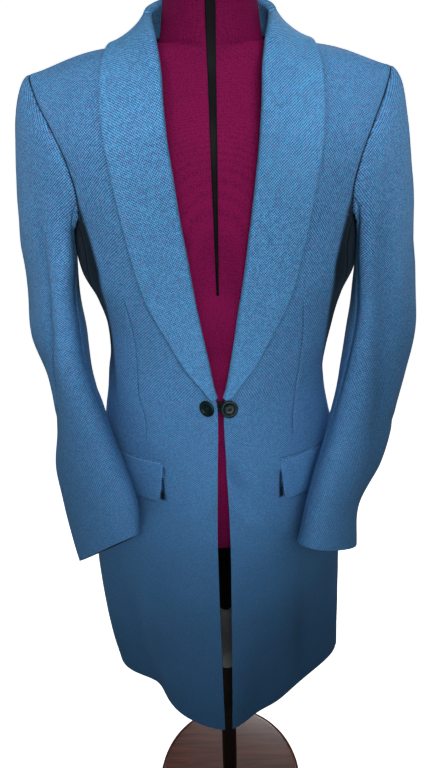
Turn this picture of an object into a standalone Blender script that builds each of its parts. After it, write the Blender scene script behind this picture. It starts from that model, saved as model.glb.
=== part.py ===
"""Day coat on a limbless dress form, with its stand.

Metres, +Z up. The front of the coat faces -Y and the wearer's left is +X. The origin is the
centre of the base's underside, on the floor. Every cloth piece is an open surface, computed
from the section tables below, with a Solidify wall that grows inwards.
"""

import math

import bmesh
import bpy
from mathutils import Matrix, Vector

# Walls and clearances
CLOTH_WALL = 0.0022
SLEEVE_WALL = 0.0020
COLLAR_WALL = 0.0022
SEAM_GAP = 0.0003
SEAM_STRIP = 0.0030  # width of the narrow column beside each centre back seam
STRIP_ANGLE = 3  # the same beside sleeve and armhole seams, in degrees round the hole
SLEEVE_HEAD_GAP = 0.0008
SLEEVE_SEAM_INSET = 0.0004

# Body of the coat: height, half width, depth in front, depth behind, power of the section
# (2 is an ellipse, less is more pointed at the centre front)
BODY = (
    (0.50, 0.2105, 0.1740, 0.1500, 1.32),
    (0.62, 0.2135, 0.1660, 0.1500, 1.42),
    (0.76, 0.2090, 0.1570, 0.1490, 1.60),
    (0.90, 0.1950, 0.1480, 0.1450, 1.80),
    (0.99, 0.1810, 0.1410, 0.1360, 1.95),
    (1.065, 0.1645, 0.1370, 0.1120, 2.00),
    (1.115, 0.1545, 0.1355, 0.0980, 2.00),
    (1.160, 0.1500, 0.1340, 0.0930, 2.00),
    (1.210, 0.1535, 0.1310, 0.0980, 2.00),
    (1.250, 0.1630, 0.1290, 0.1040, 2.00),
    (1.285, 0.1770, 0.1280, 0.1110, 2.00),
    (1.335, 0.1812, 0.1280, 0.1180, 2.00),
    (1.380, 0.1940, 0.1270, 0.1200, 2.00),
    (1.420, 0.2050, 0.1250, 0.1200, 2.00),
    (1.460, 0.2110, 0.1220, 0.1180, 2.00),
    (1.510, 0.2155, 0.1180, 0.1150, 2.00),
    (1.570, 0.2170, 0.1150, 0.1120, 2.00),
)
HEIGHT, HALF_WIDTH, FRONT_DEPTH, BACK_DEPTH, POWER = range(5)

# How far the sides of the coat hang towards the wearer's right: height, shift
SWAY = (
    (0.50, -0.0040),
    (0.62, 0.0060),
    (0.76, 0.0105),
    (0.88, 0.0090),
    (1.00, 0.0030),
    (1.09, 0.0055),
    (1.13, 0.0055),
    (1.17, 0.0010),
    (1.22, -0.0030),
    (1.27, -0.0020),
    (1.32, 0.0000),
    (1.42, 0.0000),
    (1.48, 0.0025),
)

# Shoulder line, seen from the front
SHOULDER_TOP = 1.5462  # height between the two slopes, before the rise to the neck
SHOULDER_SLOPE = 0.225
SHOULDER_ROUND = 0.100  # height over which front and back curve up to the seam
SHOULDER_BEND = 0.020  # how softly the two slopes join at the centre
SHOULDER_SWELL = 0.0050  # rise of the padded shoulder half way out
SWELL_ACROSS = 0.135
SWELL_REACH = 0.062
NECK_RISE = 0.020
NECK_REACH = 0.100

# Hem
HEM_FRONT = 0.514
HEM_SIDE = 0.522
HEM_BLEND = 0.20  # height over which the hem's slope dies out

# Soft folds of the skirt: side (1 left, -1 right), turn round the body in degrees from the
# centre front, half breadth in degrees, push outwards at the hem, height where it starts
FOLDS = (
    (-1, 28, 16, 0.009, 0.95),
    (-1, 49, 9, -0.014, 0.98),
    (-1, 66, 10, 0.013, 0.98),
    (1, 24, 10, -0.008, 0.80),
    (1, 47, 14, -0.007, 0.92),
    (1, 72, 12, 0.006, 0.95),
    (-1, 112, 14, -0.008, 0.95),
    (-1, 138, 12, 0.009, 0.98),
    (-1, 160, 10, -0.006, 0.90),
    (1, 108, 12, -0.007, 0.92),
    (1, 132, 13, 0.010, 0.98),
    (1, 156, 10, -0.007, 0.94),
)

FOLD_CURVE = 1.4  # how fast a fold deepens towards the hem

# Rows of the panels below the armhole
PANEL_HEIGHTS = (
    0.580, 0.650, 0.720, 0.790, 0.860, 0.920, 0.980, 1.030,
    1.080, 1.125, 1.170, 1.215, 1.250, 1.285, 1.320,
)

# Front edge and neck edge of each front: height, distance from the centre line
FRONT_EDGE = (
    (0.500, 0.0065),
    (0.650, 0.0078),
    (0.800, 0.0088),
    (0.900, 0.0092),
    (1.040, 0.0062),
    (1.120, 0.0038),
    (1.143, 0.0042),
    (1.165, 0.0120),
    (1.198, 0.0180),
    (1.260, 0.0280),
    (1.325, 0.0367),
    (1.390, 0.0465),
    (1.444, 0.0525),
    (1.480, 0.0565),
    (1.502, 0.0600),
    (1.520, 0.0670),
)
NECK_POINT = 0.078  # where neck and shoulder seam meet, across from the centre
BACK_NECK = 1.5455  # height of the back neck at the centre

# Side seams: height, turn of the side front seam, turn of the side back seam
SIDE_SEAMS = (
    (0.500, 76.0, 110.0),
    (0.800, 76.0, 110.0),
    (0.990, 75.0, 112.0),
    (1.150, 72.0, 118.0),
    (1.250, 66.0, 115.0),
    (1.320, 59.5, 112.0),
)

# Armhole: degrees round from the shoulder point, distance from the centre in front and behind
ARMHOLE = (
    (0, 0.2025, 0.2025),
    (22, 0.1990, 0.2005),
    (45, 0.1895, 0.1955),
    (67, 0.1735, 0.1880),
    (90, 0.1590, 0.1825),
    (112, 0.1535, 0.1785),
    (135, 0.1560, 0.1755),
    (157, 0.1670, 0.1760),
    (180, 0.1812, 0.1812),
)
ARMHOLE_LOW = 1.335
ARMHOLE_STEP = 15
RIDGE_ANGLE = 7  # one more row close to the shoulder seam, where the cloth turns over
FRONT_CORNER = 135  # where the side front seam meets the armhole
BACK_CORNER = 225

# Sleeves below the head: height, across, forward, half length and half breadth of the
# flattened section, degrees that its front fold is turned towards the body
SLEEVE_LEFT = (
    (1.300, 0.2198, 0.000, 0.0820, 0.0300, 30),
    (1.250, 0.2218, -0.006, 0.0800, 0.0387, 26),
    (1.200, 0.2206, -0.022, 0.0770, 0.0438, 28),
    (1.150, 0.2070, -0.052, 0.0730, 0.0415, 32),
    (1.100, 0.1923, -0.083, 0.0690, 0.0385, 38),
    (1.050, 0.1740, -0.114, 0.0680, 0.0356, 44),
    (1.000, 0.1474, -0.147, 0.0630, 0.0316, 38),
    (0.952, 0.1374, -0.177, 0.0620, 0.0333, 40),
)
SLEEVE_RIGHT = (
    (1.300, 0.2180, 0.000, 0.0820, 0.0285, 30),
    (1.250, 0.2180, -0.006, 0.0800, 0.0310, 25),
    (1.200, 0.2141, -0.026, 0.0780, 0.0347, 26),
    (1.150, 0.2015, -0.053, 0.0740, 0.0285, 27),
    (1.100, 0.1890, -0.083, 0.0700, 0.0300, 32),
    (1.050, 0.1798, -0.113, 0.0710, 0.0352, 44),
    (1.000, 0.1646, -0.146, 0.0730, 0.0320, 54),
    (0.952, 0.1525, -0.177, 0.0670, 0.0283, 54),
)
CUFF_TILT = {1: 0.0, -1: 13.0}  # degrees that the cuff edge rises towards the front fold
HEAD_STEPS = (0.0, 0.10, 0.25, 0.43, 0.62, 0.81)
HEAD_SPRING = {1: 0.42, -1: 0.44}  # how far each sleeve head springs out of the armhole
HEAD_DROP = 0.35  # how much the spring leans down, for each unit outwards
HEAD_SPREAD = 0.25  # how much it leans forwards and backwards
HEAD_FALL = 0.9  # pull along the sleeve where the head meets the first section
FRONT_SLEEVE_SEAM = 120
HIND_SLEEVE_SEAM = 255

# Shawl collar, from its tip over the front button to the centre back: behind the shoulder
# seam or not, neck edge across and height, outer edge across and height, height of the stand,
# how upright the stand is
COLLAR = (
    (False, 0.0085, 1.1535, 0.0140, 1.1550, 0.000, 0.00),
    (False, 0.0125, 1.1680, 0.0245, 1.1700, 0.000, 0.00),
    (False, 0.0178, 1.1970, 0.0430, 1.1950, 0.000, 0.00),
    (False, 0.0228, 1.2260, 0.0585, 1.2240, 0.000, 0.00),
    (False, 0.0330, 1.2930, 0.0855, 1.2840, 0.000, 0.00),
    (False, 0.0423, 1.3625, 0.0990, 1.3500, 0.000, 0.00),
    (False, 0.0500, 1.4200, 0.1080, 1.4150, 0.001, 0.00),
    (False, 0.0551, 1.4680, 0.1125, 1.4700, 0.002, 0.10),
    (False, 0.0600, 1.5020, 0.1130, 1.5020, 0.006, 0.30),
    (False, 0.0670, 1.5200, 0.1115, 1.5190, 0.013, 0.50),
    (False, 0.0780, None, 0.1100, None, 0.021, 0.62),
    (True, 0.0680, 1.5385, 0.1000, 1.5160, 0.026, 0.74),
    (True, 0.0450, 1.5430, 0.0700, 1.5210, 0.029, 0.84),
    (True, 0.0220, 1.5450, 0.0370, 1.5235, 0.030, 0.88),
    (True, 0.0000, 1.5455, 0.0000, 1.5240, 0.030, 0.88),
)
COLLAR_STATIONS = 24
SEAM_LAP = 0.03  # this close to the shoulder seam, a normal is taken a little below it
COLLAR_LIFT = 0.0050  # outside of the fall over the panel
COLLAR_TUCK = 0.0062  # outside of the inner leg behind the panel's outside
COLLAR_LEG = 0.008  # depth of the inner leg inside the neck edge where the collar lies flat
COLLAR_LEG_UPRIGHT = 0.002  # the same where it stands
FALL_STEPS = (0.0, 0.14, 0.34, 0.56, 0.78, 1.0)
FALL_CURVE = 1.6  # how fast the fall comes down from the stand to the panel
ROLL_ANGLES = (-90, -40, 0, 40)
COLLAR_PROBE = 0.002  # half length over which the neck edge's direction is taken

# Pocket: turn at its front and back ends, height of its top at both ends
POCKET_FRONT_TURN = 27.5
POCKET_BACK_TURN = 68.0
POCKET_FRONT_TOP = 1.0480
POCKET_BACK_TOP = 1.0350
FLAP_DROP = 0.0580
FLAP_WALL = 0.0020
FLAP_CORNER = 0.14  # share of the flap's length that its rounded corner takes
FLAP_ROUND = 0.16  # share of the drop that the rounded corner loses
FLAP_FLARE = 0.0035  # how far the lower edge stands off
FLAP_CURVE = 1.5
FLAP_COLUMNS = (0.0, 0.04, 0.09, 0.16, 0.32, 0.49, 0.66, 0.83, 1.0)
FLAP_ROWS = (1.0, 0.75, 0.5, 0.25, 0.0)
JET_COLUMNS = 8
JET_HEIGHT = 0.0050
JET_WALL = 0.0015
ON_PANEL = 0.0006

# Buttons
# distance across, height, degrees that it faces outwards and upwards
FRONT_BUTTONS = {"left": (0.0104, 1.1394, 0.0, 26.0), "right": (0.0137, 1.1427, 28.0, 4.0)}
BUTTON_RADIUS = 0.0106
BUTTON_SHANK = 0.0042
SHANK_RADIUS = 0.0025
BUTTON_GAP = 0.0001
ON_CLOTH = 0.0005
CUFF_BUTTON_RADIUS = 0.0076
CUFF_BUTTON_ANGLE = -91  # degrees round the sleeve, on its hind fold
CUFF_BUTTON_SHARES = (0.12, 0.41, 0.70)  # places between the last two sleeve sections
LINK_MIDDLE = 1.1395
LINK_HEIGHT = 0.016
LINK_WALL = 0.0024
LINK_CLEARANCE = 0.0010

# Dress form: height, half width, depth in front, depth behind, power
FORM = (
    (0.880, 0.150, 0.112, 0.105, 2.2),
    (0.950, 0.160, 0.122, 0.116, 2.2),
    (1.020, 0.154, 0.122, 0.108, 2.2),
    (1.090, 0.142, 0.119, 0.090, 2.2),
    (1.150, 0.137, 0.117, 0.080, 2.2),
    (1.210, 0.141, 0.115, 0.084, 2.2),
    (1.280, 0.157, 0.114, 0.096, 2.2),
    (1.350, 0.162, 0.113, 0.104, 2.2),
    (1.410, 0.163, 0.108, 0.104, 2.2),
    (1.450, 0.166, 0.098, 0.098, 2.1),
    (1.480, 0.168, 0.078, 0.080, 2.0),
    (1.500, 0.168, 0.064, 0.064, 1.7),
    (1.5315, 0.0590, 0.0535, 0.049, 1.8),
    (1.5360, 0.0565, 0.0530, 0.049, 2.0),
    (1.5480, 0.0540, 0.052, 0.049, 2.0),
    (1.5800, 0.0500, 0.052, 0.049, 2.0),
    (1.6100, 0.0490, 0.051, 0.048, 2.0),
    (1.6220, 0.0430, 0.045, 0.042, 2.0),
)
# Sections of the form's shoulders, just under the coat: half width, depth in front, behind,
# power
FORM_RIDGE = (
    (0.1640, 0.057, 0.056, 1.3),
    (0.1290, 0.055, 0.052, 1.3),
    (0.0930, 0.054, 0.050, 1.3),
)
FORM_CLEARANCE = 0.0008
FORM_SIDES = 24
SLOT_TOP = 1.610
SLOT_LOW = 1.280
SLOT_TOP_HALF = 0.0060
SLOT_LOW_HALF = 0.0012
SLOT_WALL = 0.0010
SLOT_CLEARANCE = 0.0008

# Stand: radii and heights
BASE_RADIUS = 0.165
BASE_THICKNESS = 0.028
LOWER_TUBE_RADIUS = 0.016
LOWER_TUBE_TOP = 0.460
HEIGHT_SLEEVE_RADIUS = 0.021
HEIGHT_SLEEVE_TOP = 0.620
UPPER_TUBE_RADIUS = 0.0125
STAND_GAP = 0.0003

# Finishes: colour, roughness, metallic
FINISHES = {
    "coat wool": ((0.048, 0.130, 0.275), 0.85, 0.0),
    "collar wool": ((0.085, 0.215, 0.400), 0.85, 0.0),
    "dark green horn": ((0.008, 0.020, 0.018), 0.35, 0.0),
    "black braid": ((0.006, 0.006, 0.008), 0.70, 0.0),
    "plum jersey": ((0.150, 0.008, 0.050), 0.80, 0.0),
    "black slot": ((0.004, 0.004, 0.005), 0.60, 0.0),
    "black tube": ((0.010, 0.010, 0.011), 0.40, 0.5),
    "grey sleeve": ((0.500, 0.510, 0.520), 0.45, 0.2),
    "dark tube": ((0.050, 0.040, 0.036), 0.45, 0.3),
    "brown wood": ((0.110, 0.035, 0.018), 0.50, 0.0),
}


def clear_scene():
    for item in list(bpy.data.objects):
        bpy.data.objects.remove(item, do_unlink=True)


def make_collection(name):
    collection = bpy.data.collections.new(name)
    bpy.context.scene.collection.children.link(collection)
    return collection


def make_material(name):
    colour, roughness, metallic = FINISHES[name]
    material = bpy.data.materials.get(name) or bpy.data.materials.new(name)
    material.use_nodes = True
    shader = material.node_tree.nodes["Principled BSDF"]
    shader.inputs["Base Color"].default_value = (*colour, 1.0)
    shader.inputs["Roughness"].default_value = roughness
    shader.inputs["Metallic"].default_value = metallic
    return material


def add_mesh_object(name, mesh, finish, collection):
    mesh.materials.append(make_material(finish))
    item = bpy.data.objects.new(name, mesh)
    collection.objects.link(item)
    return item


def add_sheet(name, grid, flipped, wall, finish, collection):
    """An open surface through a grid of points, walled inwards by Solidify."""
    shape = bmesh.new()
    rows = [[shape.verts.new(point) for point in row] for row in grid]
    for low, high in zip(rows, rows[1:]):
        for a, b, c, d in zip(low, high, high[1:], low[1:]):
            shape.faces.new((a, b, c, d) if flipped else (a, d, c, b))
    mesh = bpy.data.meshes.new(name)
    shape.to_mesh(mesh)
    shape.free()
    mesh.shade_smooth()
    item = add_mesh_object(name, mesh, finish, collection)
    shell = item.modifiers.new("wall", "SOLIDIFY")
    shell.thickness = wall
    shell.offset = -1.0
    shell.use_rim = True
    return item


def mix(a, b, share):
    return a + (b - a) * share


def clamp(value, low=0.0, high=1.0):
    return max(low, min(high, value))


def smooth_step(value):
    value = clamp(value)
    return value * value * (3 - 2 * value)


def read_table(rows, column, key, key_column=0):
    """A smooth curve through one column of a table whose key column rises or falls."""
    rows = sorted(rows, key=lambda row: row[key_column])
    keys = [row[key_column] for row in rows]
    values = [row[column] for row in rows]
    if key <= keys[0]:
        return values[0]
    if key >= keys[-1]:
        return values[-1]
    i = max(n for n in range(len(keys) - 1) if keys[n] <= key)

    def slope(n):
        if n in (0, len(keys) - 1):
            m = min(max(n, 1), len(keys) - 1)
            return (values[m] - values[m - 1]) / (keys[m] - keys[m - 1])
        before = (values[n] - values[n - 1]) / (keys[n] - keys[n - 1])
        after = (values[n + 1] - values[n]) / (keys[n + 1] - keys[n])
        if before * after <= 0:
            return 0.0
        return 2 * before * after / (before + after)

    span = keys[i + 1] - keys[i]
    u = (key - keys[i]) / span
    return (
        (2 * u**3 - 3 * u**2 + 1) * values[i]
        + (u**3 - 2 * u**2 + u) * span * slope(i)
        + (3 * u**2 - 2 * u**3) * values[i + 1]
        + (u**3 - u**2) * span * slope(i + 1)
    )


def shoulder_height(across):
    rise = NECK_RISE * (1 - clamp(across / NECK_REACH) ** 2) ** 2
    fall = math.hypot(across, SHOULDER_BEND) - SHOULDER_BEND
    swell = SHOULDER_SWELL * (1 - clamp(abs(across - SWELL_ACROSS) / SWELL_REACH) ** 2) ** 2
    return SHOULDER_TOP - SHOULDER_SLOPE * fall + rise + swell


def fold_push(side, turn, height):
    push = 0.0
    for fold_side, centre, breadth, depth, top in FOLDS:
        if fold_side == side and height < top:
            reach = ((top - height) / (top - HEM_FRONT)) ** FOLD_CURVE
            push += depth * reach * math.exp(-(((turn - centre) / breadth) ** 2))
    return push


def section_power(turn, height):
    return 2.0 if turn > 90 else read_table(BODY, POWER, height)


def across_at(turn, height):
    """Distance from the centre at a turn, before the sides sway."""
    width = read_table(BODY, HALF_WIDTH, height)
    return width * abs(math.sin(math.radians(turn))) ** (2 / section_power(turn, height))


def coat_point(side, turn, height):
    """The coat's outside: turn runs from 0 at the centre front to 180 at the centre back."""
    behind = turn > 90
    depth = read_table(BODY, BACK_DEPTH if behind else FRONT_DEPTH, height)
    angle = math.radians(turn)
    along = depth * abs(math.cos(angle)) ** (2 / section_power(turn, height)) * (1 if behind else -1)
    across = across_at(turn, height)
    drop = clamp((shoulder_height(across) - height) / SHOULDER_ROUND)
    along *= math.sqrt(1 - (1 - drop) ** 2)
    across -= side * read_table(SWAY, 1, height) * math.sin(angle) ** 2
    push = fold_push(side, turn, height)
    reach = math.hypot(across, along) or 1.0
    scale = 1 + push / reach
    return Vector((side * across * scale, along * scale, height))


def turn_at(across, height, behind=False):
    width = read_table(BODY, HALF_WIDTH, height)
    power = 2.0 if behind else read_table(BODY, POWER, height)
    turn = math.degrees(math.asin(clamp(across / width) ** (power / 2)))
    return 180 - turn if behind else turn


def coat_normal(side, turn, height):
    step_turn, step_height = 0.5, 0.001
    low = max(turn - step_turn, 0.2)
    high = min(turn + step_turn, 179.8)
    round_way = coat_point(side, high, height) - coat_point(side, low, height)
    up = coat_point(side, turn, height + step_height) - coat_point(side, turn, height - step_height)
    normal = round_way.cross(up) * side
    return normal.normalized()


def hem_height(turn):
    return mix(HEM_FRONT, HEM_SIDE, math.sin(math.radians(clamp(turn, 0, 180))) ** 2)


def row_height(turn, height):
    """A row's height at a turn: the lowest rows follow the hem's slope."""
    share = clamp(1 - (height - HEM_FRONT) / HEM_BLEND)
    return height + (hem_height(turn) - HEM_FRONT) * share


def armhole_place(angle):
    """Turn and height of the armhole, by degrees from the shoulder point round the front."""
    behind = angle > 180
    key = 360 - angle if behind else angle
    across = read_table(ARMHOLE, 2 if behind else 1, key)
    top = shoulder_height(ARMHOLE[0][1])
    height = mix(ARMHOLE_LOW, top, (1 + math.cos(math.radians(angle))) / 2)
    return turn_at(across, height, behind), height


def front_edge_place(height):
    return turn_at(read_table(FRONT_EDGE, 1, height), height), height


def inset_edge(grid, row=None, column=None, distance=SEAM_GAP / 2):
    """Moves one edge of a grid of points towards the next line of points."""
    if row is not None:
        inner = row + 1 if row == 0 else row - 1
        pairs = [(row, n, inner, n) for n in range(len(grid[row]))]
    else:
        inner = column + 1 if column == 0 else column - 1
        pairs = [(n, column, n, inner) for n in range(len(grid))]
    for i, j, k, m in pairs:
        way = grid[k][m] - grid[i][j]
        grid[i][j] = grid[i][j] + way.normalized() * distance


def seam_shares(count, near_start, near_end, strip):
    """Column places from 0 to 1, with a narrow column beside each seam."""
    shares = [n / count for n in range(count + 1)]
    if near_start:
        shares.insert(1, strip)
    if near_end:
        shares.insert(-1, 1 - strip)
    return shares


def upper_row(side, inner, outer, shares, level):
    """A row over the armhole's lowest corner: level is 1 at the shoulder seam."""
    inner_turn, inner_height = inner
    outer_turn, outer_height = outer
    inner_drop = shoulder_height(across_at(*inner)) - inner_height
    outer_drop = shoulder_height(across_at(*outer)) - outer_height
    row = []
    for share in shares:
        turn = mix(inner_turn, outer_turn, share)
        height = mix(inner_height, outer_height, share)
        sloped = shoulder_height(across_at(turn, height)) - mix(inner_drop, outer_drop, share)
        row.append(coat_point(side, turn, mix(height, sloped, level)))
    return row


def lower_row(side, inner_turn, outer_turn, shares, height):
    row = []
    for share in shares:
        turn = mix(inner_turn, outer_turn, share)
        row.append(coat_point(side, turn, row_height(turn, height)))
    return row


# Columns of the panels, and the share of the width that the strip beside a seam takes
FRONT_COLUMNS = 9
FRONT_STRIP = 0.018
BACK_COLUMNS = 8
BACK_STRIP = 0.020
SIDE_CURVE = 6  # how late the side panel's rows bend towards the armhole

# Armhole angles of the rows over the corner, from the corner up, with a narrow last row
SEAM_ROW_ANGLE = 2.2
UPPER_ANGLES = tuple(range(FRONT_CORNER, 0, -ARMHOLE_STEP)) + (RIDGE_ANGLE, SEAM_ROW_ANGLE, 0)
FRONT_NECK_HEIGHTS = (1.3600, 1.3870, 1.4150, 1.4420, 1.4680, 1.4890, 1.5060, 1.5190, 1.5290)
BACK_NECK_PLACES = (
    (0.000, 1.3600),
    (0.000, 1.4000),
    (0.000, 1.4400),
    (0.000, 1.4780),
    (0.000, 1.5150),
    (0.000, BACK_NECK),
    (0.026, 1.5448),
    (0.050, 1.5425),
    (0.068, 1.5385),
)
# The two rows before the shoulder seam: how far below it and how far in from the neck point
RIDGE_DROP = 0.0017
RIDGE_IN = 0.0040
SEAM_ROW_DROP = 0.0004
SEAM_ROW_IN = 0.0006


def lower_heights():
    corner = armhole_place(FRONT_CORNER)[1]
    return (HEM_FRONT,) + PANEL_HEIGHTS + (corner,)


def neck_edge_across(height):
    """Across of the front's neck edge over the front edge table, up to the neck point."""
    last_height, last_across = FRONT_EDGE[-1]
    top = shoulder_height(NECK_POINT)
    share = clamp((height - last_height) / (top - last_height))
    return mix(last_across, NECK_POINT, share)


def build_front(side, name, collection):
    shares = seam_shares(FRONT_COLUMNS, False, True, FRONT_STRIP)
    grid = []
    for height in lower_heights()[:-1]:
        inner = front_edge_place(height)[0]
        outer = read_table(SIDE_SEAMS, 1, height)
        grid.append(lower_row(side, inner, outer, shares, height))
    top = shoulder_height(NECK_POINT)
    heights = FRONT_NECK_HEIGHTS + (top - RIDGE_DROP, top - SEAM_ROW_DROP, top)
    for angle, height in zip(UPPER_ANGLES, heights):
        if height > FRONT_EDGE[-1][0]:
            inner = (turn_at(neck_edge_across(height), height), height)
        else:
            inner = front_edge_place(height)
        level = 1 - angle / FRONT_CORNER
        grid.append(upper_row(side, inner, armhole_place(angle), shares, level))
    inset_edge(grid, column=-1)
    inset_edge(grid, row=-1)
    return add_sheet(name, grid, side < 0, CLOTH_WALL, "coat wool", collection)


def build_back(side, name, collection):
    shares = seam_shares(BACK_COLUMNS, True, True, BACK_STRIP)
    grid = []
    for height in lower_heights()[:-1]:
        outer = read_table(SIDE_SEAMS, 2, height)
        grid.append(lower_row(side, 180, outer, shares, height))
    top = shoulder_height(NECK_POINT)
    places = BACK_NECK_PLACES + (
        (NECK_POINT - RIDGE_IN, top - RIDGE_DROP),
        (NECK_POINT - SEAM_ROW_IN, top - SEAM_ROW_DROP),
        (NECK_POINT, top),
    )
    for angle, (across, height) in zip(UPPER_ANGLES, places):
        inner = (turn_at(across, height, True), height)
        level = 1 - angle / FRONT_CORNER
        grid.append(upper_row(side, inner, armhole_place(360 - angle), shares, level))
    for row in grid:
        if abs(row[0].x) < SEAM_STRIP:
            row[0] = Vector((side * SEAM_GAP / 2, row[1].y, row[1].z))
    inset_edge(grid, column=-1)
    inset_edge(grid, row=-1)
    return add_sheet(name, grid, side > 0, CLOTH_WALL, "coat wool", collection)


def build_side(side, name, collection):
    angles = list(range(FRONT_CORNER, BACK_CORNER + 1, ARMHOLE_STEP))
    angles.insert(1, FRONT_CORNER + STRIP_ANGLE)
    angles.insert(-1, BACK_CORNER - STRIP_ANGLE)
    span = BACK_CORNER - FRONT_CORNER
    corner_front = armhole_place(FRONT_CORNER)
    corner_back = armhole_place(BACK_CORNER)
    heights = lower_heights()
    grid = []
    for height in heights:
        share_up = (height - HEM_FRONT) / (heights[-1] - HEM_FRONT)
        bend = share_up**SIDE_CURVE
        top_row = height == heights[-1]
        front_turn = corner_front[0] if top_row else read_table(SIDE_SEAMS, 1, height)
        back_turn = corner_back[0] if top_row else read_table(SIDE_SEAMS, 2, height)
        row = []
        for angle in angles:
            share = (angle - FRONT_CORNER) / span
            loop_turn, loop_height = armhole_place(angle)
            even_turn = mix(corner_front[0], corner_back[0], share)
            turn = mix(front_turn, back_turn, share) + bend * (loop_turn - even_turn)
            lowered = height + bend * (loop_height - corner_front[1])
            row.append(coat_point(side, turn, row_height(turn, lowered)))
        grid.append(row)
    inset_edge(grid, column=0)
    inset_edge(grid, column=-1)
    inset_edge(grid, row=-1)
    return add_sheet(name, grid, side < 0, CLOTH_WALL, "coat wool", collection)


def sleeve_sections(side):
    """Centre, outward axis and front axis of each section below the sleeve head."""
    table = SLEEVE_LEFT if side > 0 else SLEEVE_RIGHT
    centres = [Vector((side * row[1], row[2], row[0])) for row in table]
    sections = []
    for n, row in enumerate(table):
        before = centres[max(n - 1, 0)]
        after = centres[min(n + 1, len(centres) - 1)]
        axis = (after - before).normalized()
        front = Vector((0, -1, 0))
        front = (front - axis * front.dot(axis)).normalized()
        outward = axis.cross(front) * side
        if outward.x * side < 0:
            outward = -outward
        turned = math.radians(row[5])
        long_axis = front * math.cos(turned) - outward * math.sin(turned)
        short_axis = outward * math.cos(turned) + front * math.sin(turned)
        if n == len(table) - 1:
            tilt = math.radians(CUFF_TILT[side])
            long_axis = long_axis * math.cos(tilt) - axis * math.sin(tilt)
        sections.append((centres[n], short_axis * row[4], long_axis * row[3], axis))
    return sections


def section_point(section, angle):
    centre, short_axis, long_axis, _ = section
    angle = math.radians(angle)
    return centre + short_axis * math.cos(angle) + long_axis * math.sin(angle)


def head_point(side, angle, share, first):
    """A point of the sleeve head, between the armhole and the first section."""
    turn, height = armhole_place(angle % 360)
    start = coat_point(side, turn, height)
    end = section_point(first, angle)
    length = (end - start).length
    spread = -math.sin(math.radians(angle)) * HEAD_SPREAD
    spring = Vector((side, spread, -HEAD_DROP)) * HEAD_SPRING[side] * length
    start = start + spring.normalized() * SLEEVE_HEAD_GAP
    fall = first[3] * length * HEAD_FALL
    return (
        start * (2 * share**3 - 3 * share**2 + 1)
        + spring * (share**3 - 2 * share**2 + share)
        + end * (3 * share**2 - 2 * share**3)
        + fall * (share**3 - share**2)
    )


def sleeve_grid(side, angles):
    sections = sleeve_sections(side)
    grid = [[head_point(side, angle, share, sections[0]) for angle in angles] for share in HEAD_STEPS]
    grid += [[section_point(section, angle) for angle in angles] for section in sections]
    return grid


def seam_angles(start, end):
    """Angles from one sleeve seam to the other, with a narrow column beside each."""
    angles = list(range(start, end + 1, ARMHOLE_STEP))
    angles.insert(1, start + STRIP_ANGLE)
    angles.insert(-1, end - STRIP_ANGLE)
    return angles


def build_sleeve(side, top, name, collection):
    if top:
        angles = seam_angles(HIND_SLEEVE_SEAM - 360, FRONT_SLEEVE_SEAM)
        angles = sorted(angles + [-RIDGE_ANGLE, RIDGE_ANGLE])
    else:
        angles = seam_angles(FRONT_SLEEVE_SEAM, HIND_SLEEVE_SEAM)
    grid = sleeve_grid(side, angles)
    inset_edge(grid, column=0, distance=SLEEVE_SEAM_INSET)
    inset_edge(grid, column=-1, distance=SLEEVE_SEAM_INSET)
    return add_sheet(name, grid, side < 0, SLEEVE_WALL, "coat wool", collection)


def lap_of(across, height, behind):
    """How far round the shoulder a place lies: -1 to 1 over the rounding, more below it."""
    drop = 0.0 if height is None else shoulder_height(across) - height
    if drop <= SHOULDER_ROUND:
        lap = math.acos(1 - clamp(drop / SHOULDER_ROUND)) / (math.pi / 2)
    else:
        lap = 1 + (drop - SHOULDER_ROUND) / SHOULDER_ROUND
    return lap if behind else -lap


def lap_place(across, lap):
    """Turn and height on the coat for a distance across and a lap."""
    size = abs(lap)
    if size <= 1:
        drop = SHOULDER_ROUND * (1 - math.cos(size * math.pi / 2))
    else:
        drop = SHOULDER_ROUND * size
    height = shoulder_height(across) - drop
    return turn_at(across, height, lap > 0), height


def collar_table():
    """The collar's rows as smooth columns, keyed by their place along the neck."""
    rows = []
    length = 0.0
    last = None
    for behind, across, height, edge_across, edge_height, stand, upright in COLLAR:
        lap = lap_of(across, height, behind)
        place = coat_point(1, *lap_place(across, lap))
        if last is not None:
            length += (place - last).length
        last = place
        edge_lap = lap_of(edge_across, edge_height, behind)
        rows.append((length, across, lap, edge_across, edge_lap, stand, upright))
    return rows


def surface_at(side, across, lap, lift=0.0):
    turn, height = lap_place(across, lap)
    point = coat_point(side, turn, height)
    if abs(lap) < SEAM_LAP:
        height -= SEAM_ROW_DROP
    return point + coat_normal(side, turn, height) * lift


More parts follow.
